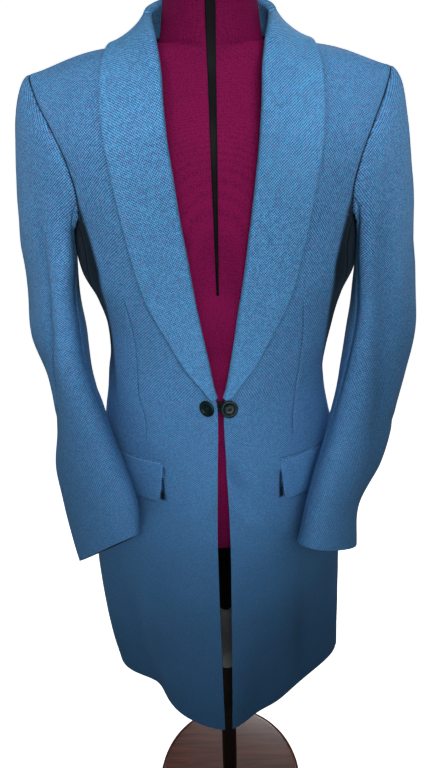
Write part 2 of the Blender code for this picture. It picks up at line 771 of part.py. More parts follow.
def collar_section(side, rows, place):
    """Points across the collar: inner leg, roll, then the fall down to its outer edge."""
    across, lap, edge_across, edge_lap, stand, upright = (
        read_table(rows, column, place) for column in range(1, 7)
    )
    neck = surface_at(side, across, lap)
    edge = surface_at(side, edge_across, edge_lap)
    length = rows[-1][0]
    before, after = (
        surface_at(side, *(read_table(rows, column, clamp(spot, 0, length)) for column in (1, 2)))
        for spot in (place - COLLAR_PROBE, place + COLLAR_PROBE)
    )
    along = (after - before).normalized()
    if place > length - COLLAR_PROBE:
        along = Vector((-side, 0, 0))
    inward = (neck - edge).normalized()
    up = (inward * (1 - upright) + Vector((0, 0, 1)) * upright).normalized()
    up = (up - along * up.dot(along)).normalized()
    out = along.cross(up) * side
    middle = (COLLAR_LIFT - COLLAR_TUCK) / 2
    radius = (COLLAR_LIFT + COLLAR_TUCK) / 2
    leg = mix(COLLAR_LEG, COLLAR_LEG_UPRIGHT, smooth_step(2 * upright))
    section = [neck - up * leg - out * COLLAR_TUCK]
    section.append(neck + up * (stand - leg) / 2 - out * COLLAR_TUCK)
    for degrees in ROLL_ANGLES:
        angle = math.radians(degrees)
        section.append(
            neck + up * (stand + radius * math.cos(angle)) + out * (middle + radius * math.sin(angle))
        )
    top = neck + up * stand + out * COLLAR_LIFT
    foot = surface_at(side, across, lap, COLLAR_LIFT)
    for share in FALL_STEPS:
        on_panel = surface_at(
            side, mix(across, edge_across, share), mix(lap, edge_lap, share), COLLAR_LIFT
        )
        section.append(on_panel + (top - foot) * (1 - share) ** FALL_CURVE)
    return section


def build_collar(side, name, collection):
    rows = collar_table()
    length = rows[-1][0]
    grid = [
        collar_section(side, rows, length * n / COLLAR_STATIONS) for n in range(COLLAR_STATIONS + 1)
    ]
    # a straight strip beside the centre back seam, so that the two walls stay apart
    strip = [Vector((side * SEAM_STRIP, point.y, point.z)) for point in grid[-1]]
    for point in grid[-1]:
        point.x = side * SEAM_GAP / 2
    grid.insert(-1, strip)
    return add_sheet(name, grid, side < 0, COLLAR_WALL, "collar wool", collection)


def pocket_place(share, down):
    turn = mix(POCKET_FRONT_TURN, POCKET_BACK_TURN, share)
    return turn, mix(POCKET_FRONT_TOP, POCKET_BACK_TOP, share) - down


def panel_point(side, turn, height, lift):
    return coat_point(side, turn, height) + coat_normal(side, turn, height) * lift


def build_flap(side, name, collection):
    grid = []
    for down_share in FLAP_ROWS:
        row = []
        for share in FLAP_COLUMNS:
            corner = clamp(1 - share / FLAP_CORNER)
            drop = FLAP_DROP * (1 - FLAP_ROUND * (1 - math.sqrt(1 - corner**2)))
            turn, height = pocket_place(share, drop * down_share)
            lift = ON_PANEL + FLAP_WALL + FLAP_FLARE * down_share**FLAP_CURVE
            row.append(panel_point(side, turn, height, lift))
        grid.append(row)
    return add_sheet(name, grid, side < 0, FLAP_WALL, "coat wool", collection)


def build_jet(side, name, collection):
    grid = []
    for rise in (SEAM_GAP, SEAM_GAP + JET_HEIGHT):
        row = []
        for n in range(JET_COLUMNS + 1):
            turn, height = pocket_place(n / JET_COLUMNS, -rise)
            row.append(panel_point(side, turn, height, ON_PANEL + JET_WALL))
        grid.append(row)
    return add_sheet(name, grid, side < 0, JET_WALL, "coat wool", collection)


def add_turned(name, profile, steps, finish, collection):
    """A turned piece: its profile at +X runs from the top down."""
    mesh = bpy.data.meshes.new(name)
    points = [(radius, 0, height) for radius, height in profile]
    mesh.from_pydata(points, [(n, n + 1) for n in range(len(points) - 1)], [])
    item = add_mesh_object(name, mesh, finish, collection)
    screw = item.modifiers.new("turn", "SCREW")
    screw.steps = steps
    screw.render_steps = steps
    screw.use_merge_vertices = True
    screw.merge_threshold = 0.0001
    screw.use_smooth_shade = True
    return item


def button_profile(radius, shank):
    return (
        (0.0, shank + 0.0016),
        (radius * 0.60, shank + 0.0019),
        (radius * 0.80, shank + 0.0034),
        (radius, shank + 0.0026),
        (radius * 0.90, shank),
        (SHANK_RADIUS, shank),
        (SHANK_RADIUS, 0.0),
        (0.0, 0.0),
    )


def cuff_button_profile(radius):
    return (
        (0.0, 0.0018),
        (radius * 0.62, 0.0020),
        (radius * 0.82, 0.0032),
        (radius, 0.0020),
        (radius * 0.86, 0.0),
        (0.0, 0.0),
    )


def seat(item, point, normal, gap):
    item.rotation_euler = normal.to_track_quat("Z", "Y").to_euler()
    item.location = point + normal * gap


def build_front_buttons(collection):
    """Each button leans on the edge of its shank's foot."""
    for side, word in ((1, "left"), (-1, "right")):
        across, height, outwards, upwards = FRONT_BUTTONS[word]
        turn = turn_at(across, height)
        point = coat_point(side, turn, height)
        off_cloth = coat_normal(side, turn, height)
        profile = button_profile(BUTTON_RADIUS, BUTTON_SHANK)
        item = add_turned(f"front_button_{word}", profile, 20, "dark green horn", collection)
        normal = off_cloth.copy()
        normal.rotate(Matrix.Rotation(side * math.radians(outwards), 3, "Z"))
        normal.rotate(Matrix.Rotation(-math.radians(upwards), 3, "X"))
        rise = BUTTON_GAP + SHANK_RADIUS * math.sin(off_cloth.angle(normal))
        seat(item, point + off_cloth * rise, normal, 0)


def build_link(collection):
    """The short braid link behind the two front edges, between the buttons."""
    inside = LINK_CLEARANCE + CLOTH_WALL
    grid = []
    for height in (LINK_MIDDLE - LINK_HEIGHT / 2, LINK_MIDDLE, LINK_MIDDLE + LINK_HEIGHT / 2):
        row = []
        for share in (-1, -0.6, -0.2, 0.2, 0.6, 1):
            side, word = (1, "left") if share > 0 else (-1, "right")
            across = abs(share) * FRONT_BUTTONS[word][0]
            turn = turn_at(across, height)
            row.append(panel_point(side, turn, height, -inside))
        grid.append(row)
    return add_sheet("button_link", grid, False, LINK_WALL, "black braid", collection)


def build_cuff_buttons(side, word, collection):
    sections = sleeve_sections(side)
    upper, lower = sections[-2], sections[-1]
    angle = CUFF_BUTTON_ANGLE
    for n, share in enumerate(CUFF_BUTTON_SHARES, 1):
        before, point, after = (
            section_point(upper, angle + turn).lerp(section_point(lower, angle + turn), share)
            for turn in (-4, 0, 4)
        )
        centre = upper[0].lerp(lower[0], share)
        ahead = section_point(lower, angle) - section_point(upper, angle)
        around = after - before
        normal = ahead.cross(around).normalized()
        if normal.dot(point - centre) < 0:
            normal = -normal
        name = f"cuff_button_{word}_{n}"
        item = add_turned(name, cuff_button_profile(CUFF_BUTTON_RADIUS), 14, "dark green horn", collection)
        seat(item, point, normal, ON_CLOTH)


def form_rows():
    """The form's table with its shoulders added at the height that the cloth rests on."""
    rows = list(FORM)
    for half_width, front, back, power in FORM_RIDGE:
        height = shoulder_height(half_width) - CLOTH_WALL - FORM_CLEARANCE
        rows.append((height, half_width, front, back, power))
    return sorted(rows)


def form_point(angle, height):
    """The dress form's surface; the angle runs from the centre front round its left side."""
    rows = form_rows()
    width, front, back, power = (read_table(rows, column, height) for column in range(1, 5))
    angle = math.radians(angle)
    across = width * math.copysign(abs(math.sin(angle)) ** (2 / power), math.sin(angle))
    behind = math.cos(angle) < 0
    along = (back if behind else front) * abs(math.cos(angle)) ** (2 / power)
    return Vector((across, along if behind else -along, height))


def build_form(collection):
    shape = bmesh.new()
    rings = []
    for row in form_rows():
        angles = [360 * n / FORM_SIDES for n in range(FORM_SIDES)]
        rings.append([shape.verts.new(form_point(angle, row[0])) for angle in angles])
    for low, high in zip(rings, rings[1:]):
        for n in range(FORM_SIDES):
            m = (n + 1) % FORM_SIDES
            shape.faces.new((low[n], low[m], high[m], high[n]))
    shape.faces.new(list(reversed(rings[0])))
    shape.faces.new(rings[-1])
    bmesh.ops.recalc_face_normals(shape, faces=shape.faces)
    mesh = bpy.data.meshes.new("form_torso")
    shape.to_mesh(mesh)
    shape.free()
    mesh.shade_smooth()
    mesh.set_sharp_from_angle(angle=math.radians(50))
    return add_mesh_object("form_torso", mesh, "plum jersey", collection)


def build_slot(collection):
    grid = []
    for height in [row[0] for row in form_rows() if SLOT_LOW <= row[0] <= SLOT_TOP]:
        half = mix(SLOT_LOW_HALF, SLOT_TOP_HALF, (height - SLOT_LOW) / (SLOT_TOP - SLOT_LOW))
        centre = form_point(0, height)
        slope = form_point(0, height + 0.002) - form_point(0, height - 0.002)
        normal = Vector((0, -slope.z, slope.y)).normalized()
        row = [centre + normal * (SLOT_CLEARANCE + SLOT_WALL) + Vector((x, 0, 0)) for x in (-half, half)]
        grid.append(row)
    return add_sheet("form_slot", grid, False, SLOT_WALL, "black slot", collection)


def add_tube(name, radius, low, high, finish, collection):
    mesh = bpy.data.meshes.new(name)
    shape = bmesh.new()
    bmesh.ops.create_cone(
        shape, cap_ends=True, segments=20, radius1=radius, radius2=radius, depth=high - low
    )
    shape.to_mesh(mesh)
    shape.free()
    mesh.shade_smooth()
    mesh.set_sharp_from_angle(angle=math.radians(50))
    item = add_mesh_object(name, mesh, finish, collection)
    item.location = (0, 0, (low + high) / 2)
    return item


def build_stand(collection):
    round_over = 0.006
    profile = (
        (0.0, BASE_THICKNESS),
        (BASE_RADIUS - 2 * round_over, BASE_THICKNESS),
        (BASE_RADIUS - round_over / 2, BASE_THICKNESS - round_over / 2),
        (BASE_RADIUS, BASE_THICKNESS - 2 * round_over),
        (BASE_RADIUS, round_over / 2),
        (BASE_RADIUS - round_over / 2, 0.0),
        (0.0, 0.0),
    )
    add_turned("stand_base", profile, 40, "brown wood", collection)
    low = BASE_THICKNESS + STAND_GAP
    add_tube("stand_tube_lower", LOWER_TUBE_RADIUS, low, LOWER_TUBE_TOP, "dark tube", collection)
    low = LOWER_TUBE_TOP + STAND_GAP
    add_tube(
        "stand_height_sleeve", HEIGHT_SLEEVE_RADIUS, low, HEIGHT_SLEEVE_TOP, "grey sleeve", collection
    )
    low = HEIGHT_SLEEVE_TOP + STAND_GAP
    high = FORM[0][0] - STAND_GAP
    add_tube("stand_tube_upper", UPPER_TUBE_RADIUS, low, high, "black tube", collection)


def main():
    clear_scene()
    collection = make_collection("day coat on dress form")
    for side, word in ((1, "left"), (-1, "right")):
        build_front(side, f"front_{word}", collection)
        build_side(side, f"side_{word}", collection)
        build_back(side, f"back_{word}", collection)
        build_sleeve(side, True, f"sleeve_top_{word}", collection)
        build_sleeve(side, False, f"sleeve_under_{word}", collection)
        build_collar(side, f"shawl_collar_{word}", collection)
        build_jet(side, f"pocket_jet_{word}", collection)
        build_flap(side, f"pocket_flap_{word}", collection)
        build_cuff_buttons(side, word, collection)
    build_front_buttons(collection)
    build_link(collection)
    build_form(collection)
    build_slot(collection)
    build_stand(collection)


main()
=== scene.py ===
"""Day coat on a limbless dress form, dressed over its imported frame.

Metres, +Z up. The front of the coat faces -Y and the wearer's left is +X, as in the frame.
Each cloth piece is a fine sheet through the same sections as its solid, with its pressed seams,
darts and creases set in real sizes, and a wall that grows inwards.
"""

import math

import bpy
import numpy as np
from mathutils import Matrix, Vector, noise


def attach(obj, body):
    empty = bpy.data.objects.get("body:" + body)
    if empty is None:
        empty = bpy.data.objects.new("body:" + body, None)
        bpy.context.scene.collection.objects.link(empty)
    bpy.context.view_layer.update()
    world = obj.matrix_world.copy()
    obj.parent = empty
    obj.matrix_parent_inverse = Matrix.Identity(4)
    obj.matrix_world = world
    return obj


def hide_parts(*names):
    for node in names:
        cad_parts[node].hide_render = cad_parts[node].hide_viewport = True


bl_info = {
    "name": "Day coat on a dress form",
    "version": (1, 0, 0),
    "blender": (4, 5, 0),
    "location": "3D View > Sidebar > Day Coat",
    "description": "Dresses the packed frame of a day coat on its dress form",
    "category": "Object",
}

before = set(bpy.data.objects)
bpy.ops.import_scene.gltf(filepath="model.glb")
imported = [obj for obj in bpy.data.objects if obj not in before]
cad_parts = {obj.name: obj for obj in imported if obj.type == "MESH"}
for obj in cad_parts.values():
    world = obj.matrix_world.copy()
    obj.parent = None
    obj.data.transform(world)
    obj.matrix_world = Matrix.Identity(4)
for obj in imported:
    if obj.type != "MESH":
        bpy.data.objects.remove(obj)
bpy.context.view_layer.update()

# Walls and clearances, as in the solids
CLOTH_WALL = 0.0022
SLEEVE_WALL = 0.0020
COLLAR_WALL = 0.0022
SEAM_GAP = 0.0003
CLOSED_SEAM = 0.00002  # the same once sewn, so that no light shows through
SLEEVE_HEAD_GAP = 0.0004

# Body of the coat: height, half width, depth in front, depth behind, power of the section
BODY = (
    (0.50, 0.2105, 0.1740, 0.1500, 1.32),
    (0.62, 0.2135, 0.1660, 0.1500, 1.42),
    (0.76, 0.2090, 0.1570, 0.1490, 1.60),
    (0.90, 0.1950, 0.1480, 0.1450, 1.80),
    (0.99, 0.1810, 0.1410, 0.1360, 1.95),
    (1.065, 0.1645, 0.1370, 0.1120, 2.00),
    (1.115, 0.1545, 0.1355, 0.0980, 2.00),
    (1.160, 0.1500, 0.1340, 0.0930, 2.00),
    (1.210, 0.1535, 0.1310, 0.0980, 2.00),
    (1.250, 0.1630, 0.1290, 0.1040, 2.00),
    (1.285, 0.1770, 0.1280, 0.1110, 2.00),
    (1.335, 0.1812, 0.1280, 0.1180, 2.00),
    (1.380, 0.1940, 0.1270, 0.1200, 2.00),
    (1.420, 0.2050, 0.1250, 0.1200, 2.00),
    (1.460, 0.2110, 0.1220, 0.1180, 2.00),
    (1.510, 0.2155, 0.1180, 0.1150, 2.00),
    (1.570, 0.2170, 0.1150, 0.1120, 2.00),
)
HALF_WIDTH, FRONT_DEPTH, BACK_DEPTH, POWER = 1, 2, 3, 4

# How far the sides of the coat hang towards the wearer's right: height, shift
SWAY = (
    (0.50, -0.0040),
    (0.62, 0.0060),
    (0.76, 0.0105),
    (0.88, 0.0090),
    (1.00, 0.0030),
    (1.09, 0.0055),
    (1.13, 0.0055),
    (1.17, 0.0010),
    (1.22, -0.0030),
    (1.27, -0.0020),
    (1.32, 0.0000),
    (1.42, 0.0000),
    (1.48, 0.0025),
)

# Shoulder line, seen from the front
SHOULDER_TOP = 1.5462
SHOULDER_SLOPE = 0.225
SHOULDER_ROUND = 0.100
SHOULDER_BEND = 0.020
SHOULDER_SWELL = 0.0050
SWELL_ACROSS = 0.135
SWELL_REACH = 0.062
NECK_RISE = 0.020
NECK_REACH = 0.100

# Hem
HEM_FRONT = 0.514
HEM_SIDE = 0.522
HEM_BLEND = 0.20

# Soft folds of the skirt: side (1 left, -1 right), turn round the body in degrees from the
# centre front, half breadth in degrees, push outwards at the hem, height where it starts
FOLDS = (
    (-1, 28, 16, 0.009, 0.95),
    (-1, 49, 9, -0.014, 0.98),
    (-1, 66, 10, 0.013, 0.98),
    (1, 24, 10, -0.008, 0.80),
    (1, 47, 14, -0.007, 0.92),
    (1, 72, 12, 0.006, 0.95),
    (-1, 112, 14, -0.008, 0.95),
    (-1, 138, 12, 0.009, 0.98),
    (-1, 160, 10, -0.006, 0.90),
    (1, 108, 12, -0.007, 0.92),
    (1, 132, 13, 0.010, 0.98),
    (1, 156, 10, -0.007, 0.94),
)
FOLD_CURVE = 1.4

# Front edge and neck edge of each front: height, distance from the centre line
FRONT_EDGE = (
    (0.500, 0.0065),
    (0.650, 0.0078),
    (0.800, 0.0088),
    (0.900, 0.0092),
    (1.040, 0.0062),
    (1.120, 0.0038),
    (1.143, 0.0042),
    (1.165, 0.0120),
    (1.198, 0.0180),
    (1.260, 0.0280),
    (1.325, 0.0367),
    (1.390, 0.0465),
    (1.444, 0.0525),
    (1.480, 0.0565),
    (1.502, 0.0600),
    (1.520, 0.0670),
)
NECK_POINT = 0.078
BACK_NECK = 1.5455

# Side seams: height, turn of the side front seam, turn of the side back seam
SIDE_SEAMS = (
    (0.500, 76.0, 110.0),
    (0.800, 76.0, 110.0),
    (0.990, 75.0, 112.0),
    (1.150, 72.0, 118.0),
    (1.250, 66.0, 115.0),
    (1.320, 59.5, 112.0),
)

# Armhole: degrees round from the shoulder point, distance from the centre in front and behind
ARMHOLE = (
    (0, 0.2025, 0.2025),
    (22, 0.1990, 0.2005),
    (45, 0.1895, 0.1955),
    (67, 0.1735, 0.1880),
    (90, 0.1590, 0.1825),
    (112, 0.1535, 0.1785),
    (135, 0.1560, 0.1755),
    (157, 0.1670, 0.1760),
    (180, 0.1812, 0.1812),
)
ARMHOLE_LOW = 1.335
FRONT_CORNER = 135
BACK_CORNER = 225
SIDE_CURVE = 6

# The neck edges of the front and the back, by degrees round the armhole from the corner up
FRONT_NECK = (
    (135, 1.3600),
    (120, 1.3870),
    (105, 1.4150),
    (90, 1.4420),
    (75, 1.4680),
    (60, 1.4890),
    (45, 1.5060),
    (30, 1.5190),
    (15, 1.5290),
)
BACK_NECK_EDGE = (
    (135, 0.000, 1.3600),
    (120, 0.000, 1.4000),
    (105, 0.000, 1.4400),
    (90, 0.000, 1.4780),
    (75, 0.000, 1.5150),
    (60, 0.000, BACK_NECK),
    (45, 0.026, 1.5448),
    (30, 0.050, 1.5425),
    (15, 0.068, 1.5385),
)

# Sleeves below the head: height, across, forward, half length and half breadth of the
# flattened section, degrees that its front fold is turned towards the body
SLEEVE_LEFT = (
    (1.300, 0.2198, 0.000, 0.0820, 0.0300, 30),
    (1.250, 0.2218, -0.006, 0.0800, 0.0387, 26),
    (1.200, 0.2206, -0.022, 0.0770, 0.0438, 28),
    (1.150, 0.2070, -0.052, 0.0730, 0.0415, 32),
    (1.100, 0.1923, -0.083, 0.0690, 0.0385, 38),
    (1.050, 0.1740, -0.114, 0.0680, 0.0356, 44),
    (1.000, 0.1474, -0.147, 0.0630, 0.0316, 38),
    (0.952, 0.1374, -0.177, 0.0620, 0.0333, 40),
)
SLEEVE_RIGHT = (
    (1.300, 0.2180, 0.000, 0.0820, 0.0285, 30),
    (1.250, 0.2180, -0.006, 0.0800, 0.0310, 25),
    (1.200, 0.2141, -0.026, 0.0780, 0.0347, 26),
    (1.150, 0.2015, -0.053, 0.0740, 0.0285, 27),
    (1.100, 0.1890, -0.083, 0.0700, 0.0300, 32),
    (1.050, 0.1798, -0.113, 0.0710, 0.0352, 44),
    (1.000, 0.1646, -0.146, 0.0730, 0.0320, 54),
    (0.952, 0.1525, -0.177, 0.0670, 0.0283, 54),
)
CUFF_TILT = {1: 0.0, -1: 13.0}
HEAD_SPRING = {1: 0.42, -1: 0.44}
HEAD_DROP = 0.35
HEAD_SPREAD = 0.25
HEAD_FALL = 0.9
FRONT_SLEEVE_SEAM = 120
HIND_SLEEVE_SEAM = 255
HEAD_SHARES = np.concatenate([[0.0, 0.006, 0.014, 0.025, 0.04], np.linspace(0.06, 0.97, 32)])
SEAM_ALLOWANCE = 0.0030  # what lies under the panels at the armhole, so that the seam is closed
SEAM_ALLOWANCE_DROP = 0.0029

# Shawl collar: behind the shoulder seam or not, neck edge across and height, outer edge across
# and height, height of the stand, how upright the stand is
COLLAR = (
    (False, 0.0085, 1.1535, 0.0140, 1.1550, 0.000, 0.00),
    (False, 0.0125, 1.1680, 0.0245, 1.1700, 0.000, 0.00),
    (False, 0.0178, 1.1970, 0.0430, 1.1950, 0.000, 0.00),
    (False, 0.0228, 1.2260, 0.0585, 1.2240, 0.000, 0.00),
    (False, 0.0330, 1.2930, 0.0855, 1.2840, 0.000, 0.00),
    (False, 0.0423, 1.3625, 0.0990, 1.3500, 0.000, 0.00),
    (False, 0.0500, 1.4200, 0.1080, 1.4150, 0.001, 0.00),
    (False, 0.0551, 1.4680, 0.1125, 1.4700, 0.002, 0.10),
    (False, 0.0600, 1.5020, 0.1130, 1.5020, 0.006, 0.30),
    (False, 0.0670, 1.5200, 0.1115, 1.5190, 0.013, 0.50),
    (False, 0.0780, None, 0.1100, None, 0.021, 0.62),
    (True, 0.0680, 1.5385, 0.1000, 1.5160, 0.026, 0.74),
    (True, 0.0450, 1.5430, 0.0700, 1.5210, 0.029, 0.84),
    (True, 0.0220, 1.5450, 0.0370, 1.5235, 0.030, 0.88),
    (True, 0.0000, 1.5455, 0.0000, 1.5240, 0.030, 0.88),
)
COLLAR_LIFT = 0.0050
COLLAR_TUCK = 0.0062
COLLAR_LEG = 0.008
COLLAR_LEG_UPRIGHT = 0.002
FALL_CURVE = 1.6
SEAM_LAP = 0.03
SEAM_ROW_DROP = 0.0004
COLLAR_PROBE = 0.002

# Pocket
POCKET_FRONT_TURN = 27.5
POCKET_BACK_TURN = 68.0
POCKET_FRONT_TOP = 1.0480
POCKET_BACK_TOP = 1.0350
FLAP_DROP = 0.0580
FLAP_WALL = 0.0020
FLAP_CORNER = 0.14
FLAP_ROUND = 0.16
FLAP_FLARE = 0.0035
FLAP_CURVE = 1.5
FLAP_CORNER_LIFT = 0.0080  # how far the front lower corner curls off the front
JET_HEIGHT = 0.0050
JET_WALL = 0.0015
ON_PANEL = 0.0006

# Buttons
FRONT_BUTTONS = {"left": (0.0104, 1.1394, 0.0, 26.0), "right": (0.0137, 1.1427, 28.0, 4.0)}
BUTTON_RADIUS = 0.0106
BUTTON_SHANK = 0.0042
SHANK_RADIUS = 0.0025
BUTTON_GAP = 0.0001
ON_CLOTH = 0.0005
CUFF_BUTTON_RADIUS = 0.0076
CUFF_BUTTON_ANGLE = -91
CUFF_BUTTON_SHARES = (0.12, 0.41, 0.70)
LINK_MIDDLE = 1.1395
LINK_HEIGHT = 0.016
LINK_WALL = 0.0024
LINK_CLEARANCE = 0.0010
HORN = "dyed horn, turned and polished"

# Dress form: height, half width, depth in front, depth behind, power
FORM = (
    (0.880, 0.150, 0.112, 0.105, 2.2),
    (0.950, 0.160, 0.122, 0.116, 2.2),
    (1.020, 0.154, 0.122, 0.108, 2.2),
    (1.090, 0.142, 0.119, 0.090, 2.2),
    (1.150, 0.137, 0.117, 0.080, 2.2),
    (1.210, 0.141, 0.115, 0.084, 2.2),
    (1.280, 0.157, 0.114, 0.096, 2.2),
    (1.350, 0.162, 0.113, 0.104, 2.2),
    (1.410, 0.163, 0.108, 0.104, 2.2),
    (1.450, 0.166, 0.098, 0.098, 2.1),
    (1.480, 0.168, 0.078, 0.080, 2.0),
    (1.500, 0.168, 0.064, 0.064, 1.7),
    (1.5315, 0.0590, 0.0535, 0.049, 1.8),
    (1.5360, 0.0565, 0.0530, 0.049, 2.0),
    (1.5480, 0.0540, 0.052, 0.049, 2.0),
    (1.5800, 0.0500, 0.052, 0.049, 2.0),
    (1.6100, 0.0490, 0.051, 0.048, 2.0),
    (1.6220, 0.0430, 0.045, 0.042, 2.0),
)
FORM_RIDGE = (
    (0.1640, 0.057, 0.056, 1.3),
    (0.1290, 0.055, 0.052, 1.3),
    (0.0930, 0.054, 0.050, 1.3),
)
FORM_CLEARANCE = 0.0008
SLOT_TOP = 1.610
SLOT_LOW = 1.280
SLOT_TOP_HALF = 0.0060
SLOT_LOW_HALF = 0.0012
SLOT_WALL = 0.0010
SLOT_CLEARANCE = 0.0008

# Stand: radii and heights
BASE_RADIUS = 0.165
BASE_THICKNESS = 0.028
BASE_ROUND = 0.012
LOWER_TUBE_RADIUS = 0.016
LOWER_TUBE_TOP = 0.460
HEIGHT_SLEEVE_RADIUS = 0.021
HEIGHT_SLEEVE_TOP = 0.620
UPPER_TUBE_RADIUS = 0.0125
STAND_GAP = 0.0003

# Darts of the two fronts: height, distance from the centre line
DARTS = {
    -1: ((1.0745, 0.0974), (1.106, 0.0965), (1.146, 0.1027), (1.184, 0.1030), (1.223, 0.1055),
         (1.278, 0.1120)),
    1: ((1.0745, 0.0965), (1.106, 0.0960), (1.146, 0.0985), (1.193, 0.1000), (1.228, 0.1020),
        (1.2695, 0.0994)),
}
DART_COLUMN = 0.5  # place of the dart among a front's columns
DART_FADE = 0.016

# Creases of the two fronts, by side: half breadth, then places with the push outwards there
FRONT_CREASES = {
    1: (
        (0.0090, ((0.0052, -0.1368, 1.0695, 0.000), (0.0129, -0.1379, 1.0358, -0.0050),
                  (0.0229, -0.1380, 1.0190, -0.0035), (0.0300, -0.1375, 1.0050, 0.000))),
        (0.0130, ((0.0100, -0.1400, 0.9990, 0.0010), (0.0172, -0.1406, 0.9853, 0.0035),
                  (0.0334, -0.1397, 0.9685, 0.0045), (0.0494, -0.1373, 0.9559, 0.0020),
                  (0.0640, -0.1350, 0.9480, 0.000))),
        (0.0060, ((0.0245, -0.1335, 1.1242, 0.0008), (0.0378, -0.1322, 1.0905, 0.0014),
                  (0.0695, -0.1238, 1.0653, 0.000))),
        (0.0055, ((0.0270, -0.1330, 1.1280, 0.0016), (0.0445, -0.1293, 1.1242, 0.0010),
                  (0.0700, -0.1215, 1.1160, 0.000))),
        (0.0160, ((0.1134, -0.1127, 0.8507, 0.000), (0.1227, -0.1037, 0.7036, -0.0030),
                  (0.1250, -0.0980, 0.6300, -0.0030), (0.1300, -0.0920, 0.5500, -0.0010))),
    ),
    -1: (
        (0.0070, ((-0.0178, -0.1348, 1.1074, 0.0008), (-0.0387, -0.1322, 1.0905, 0.0014),
                  (-0.0688, -0.1239, 1.0779, 0.000))),
        (0.0060, ((-0.0240, -0.1330, 1.1240, 0.0012), (-0.0450, -0.1290, 1.1170, 0.0008),
                  (-0.0720, -0.1210, 1.1080, 0.000))),
        (0.0140, ((-0.0297, -0.1364, 1.0316, 0.000), (-0.0350, -0.1400, 0.9900, 0.0020),
                  (-0.0606, -0.1357, 0.9390, 0.000))),
        (0.0150, ((-0.1131, -0.1178, 0.8633, 0.000), (-0.1327, -0.1030, 0.7118, 0.0035),
                  (-0.1330, -0.0980, 0.6300, 0.0030), (-0.1387, -0.0814, 0.5517, 0.0010))),
    ),
}

# Creases of the sleeves, by side: half breadth, then degrees round the section, place along the
# sleeve (-1 at the armhole, 0 to 7 at the sections above) and the push outwards there
SLEEVE_CREASES = {
    1: (
        (0.016, ((61, -0.64, 0.0), (65, -0.37, -0.0012), (64, -0.08, -0.0022), (75, 0.95, -0.0034),
                 (70, 2.55, -0.0036), (43, 3.78, -0.0032), (16, 5.0, -0.0016), (-6, 6.0, 0.0))),
        (0.014, ((89, -0.90, 0.0), (108, -0.66, 0.0010), (112, -0.34, 0.0018), (104, 1.38, 0.0024),
                 (103, 2.88, 0.0026), (97, 3.95, 0.0024), (83, 5.23, 0.0006))),
        (0.0046, ((118, 5.03, 0.0), (99, 5.08, 0.0013), (84, 5.00, 0.0016), (68, 5.03, 0.0))),
        (0.0050, ((105, 5.36, 0.0), (82, 5.30, -0.0014), (61, 5.22, 0.0))),
        (0.0046, ((105, 5.60, 0.0), (80, 5.56, 0.0012), (58, 5.44, 0.0))),
        (0.0070, ((20, 3.9, 0.0), (-10, 4.1, -0.0016), (-50, 4.0, 0.0))),
        (0.0080, ((-60, 3.2, 0.0), (-90, 3.5, 0.0018), (-120, 3.6, 0.0))),
        (0.0070, ((150, 3.3, 0.0), (180, 3.7, -0.0020), (215, 3.8, 0.0))),
        (0.0080, ((140, 4.3, 0.0), (175, 4.6, 0.0018), (210, 4.5, 0.0))),
    ),
    -1: (
        (0.0060, ((59, -0.51, 0.0), (47, -0.22, -0.0014), (44, -0.02, -0.0022), (55, 0.98, -0.0030),
                  (56, 2.18, -0.0032), (27, 3.05, -0.0030), (18, 3.35, -0.0022), (11, 3.98, 0.0))),
        (0.0160, ((74, -0.50, 0.0), (72, -0.10, 0.0016), (84, 0.98, 0.0028), (84, 2.18, 0.0030),
                  (60, 3.05, 0.0028), (50, 3.6, 0.0016), (40, 4.6, 0.0))),
        (0.0060, ((92, 5.10, 0.0), (75, 5.20, 0.0010), (53, 5.20, 0.0))),
        (0.0060, ((75, 5.48, 0.0), (60, 5.60, -0.0010), (38, 5.70, 0.0))),
        (0.0070, ((30, 3.7, 0.0), (0, 3.9, -0.0014), (-40, 3.9, 0.0))),
        (0.0080, ((-50, 3.1, 0.0), (-85, 3.4, 0.0018), (-115, 3.4, 0.0))),
        (0.0070, ((145, 3.4, 0.0), (175, 3.8, -0.0020), (210, 3.9, 0.0))),
        (0.0080, ((140, 4.4, 0.0), (180, 4.7, 0.0016), (210, 4.7, 0.0))),
    ),
}

# Creases of the backs, as for the fronts
BACK_CREASES = {
    1: (
        (0.0110, ((0.0300, 0.0960, 1.1700, 0.0), (0.0700, 0.0850, 1.1560, -0.0020),
                  (0.1080, 0.0640, 1.1500, 0.0))),
        (0.0140, ((0.1300, 0.0900, 1.4000, 0.0), (0.1350, 0.0850, 1.3500, -0.0022),
                  (0.1280, 0.0830, 1.3000, 0.0))),
    ),
    -1: (
        (0.0110, ((-0.0350, 0.0950, 1.1620, 0.0), (-0.0750, 0.0830, 1.1480, -0.0022),
                  (-0.1050, 0.0650, 1.1460, 0.0))),
        (0.0140, ((-0.1320, 0.0900, 1.4100, 0.0), (-0.1360, 0.0850, 1.3550, -0.0020),
                  (-0.1260, 0.0840, 1.3100, 0.0))),
    ),
}

SLEEVE_CREASE_SCALE = 1.4  # how much deeper the sleeves' creases are pressed than their table says

# Painted shade in the wedge between sleeve and body: where it starts and how it opens downwards
HOLLOW_TOP = 1.395
HOLLOW_ACROSS = 0.1520
HOLLOW_WIDENING = 0.17
HOLLOW_INNER = 0.1360
HOLLOW_FRONT = -0.118  # no shade lies further forward than this
HOLLOW_LOW = 1.10

# Painted shadows beside the collar's lifted edge and under a flap: reach, where they lie
COLLAR_SHADOW = 0.0085
COLLAR_SHADOW_LENGTH = 0.42  # from the closure up along the collar
FLAP_SHADOW_DROP = 0.0064  # below the flap's edge, where the camera sees it
FLAP_SHADOW = 0.0028

# How the cloth's colour follows the seam value, painted shade and light too: from one range to another
SEAM_AND_PAINTED_LIGHT_TONES = ((0.0, 1.0, 1.0, 0.42), (1.0, 2.0, 1.0, 0.05), (-1.0, 0.0, 1.40, 1.0))

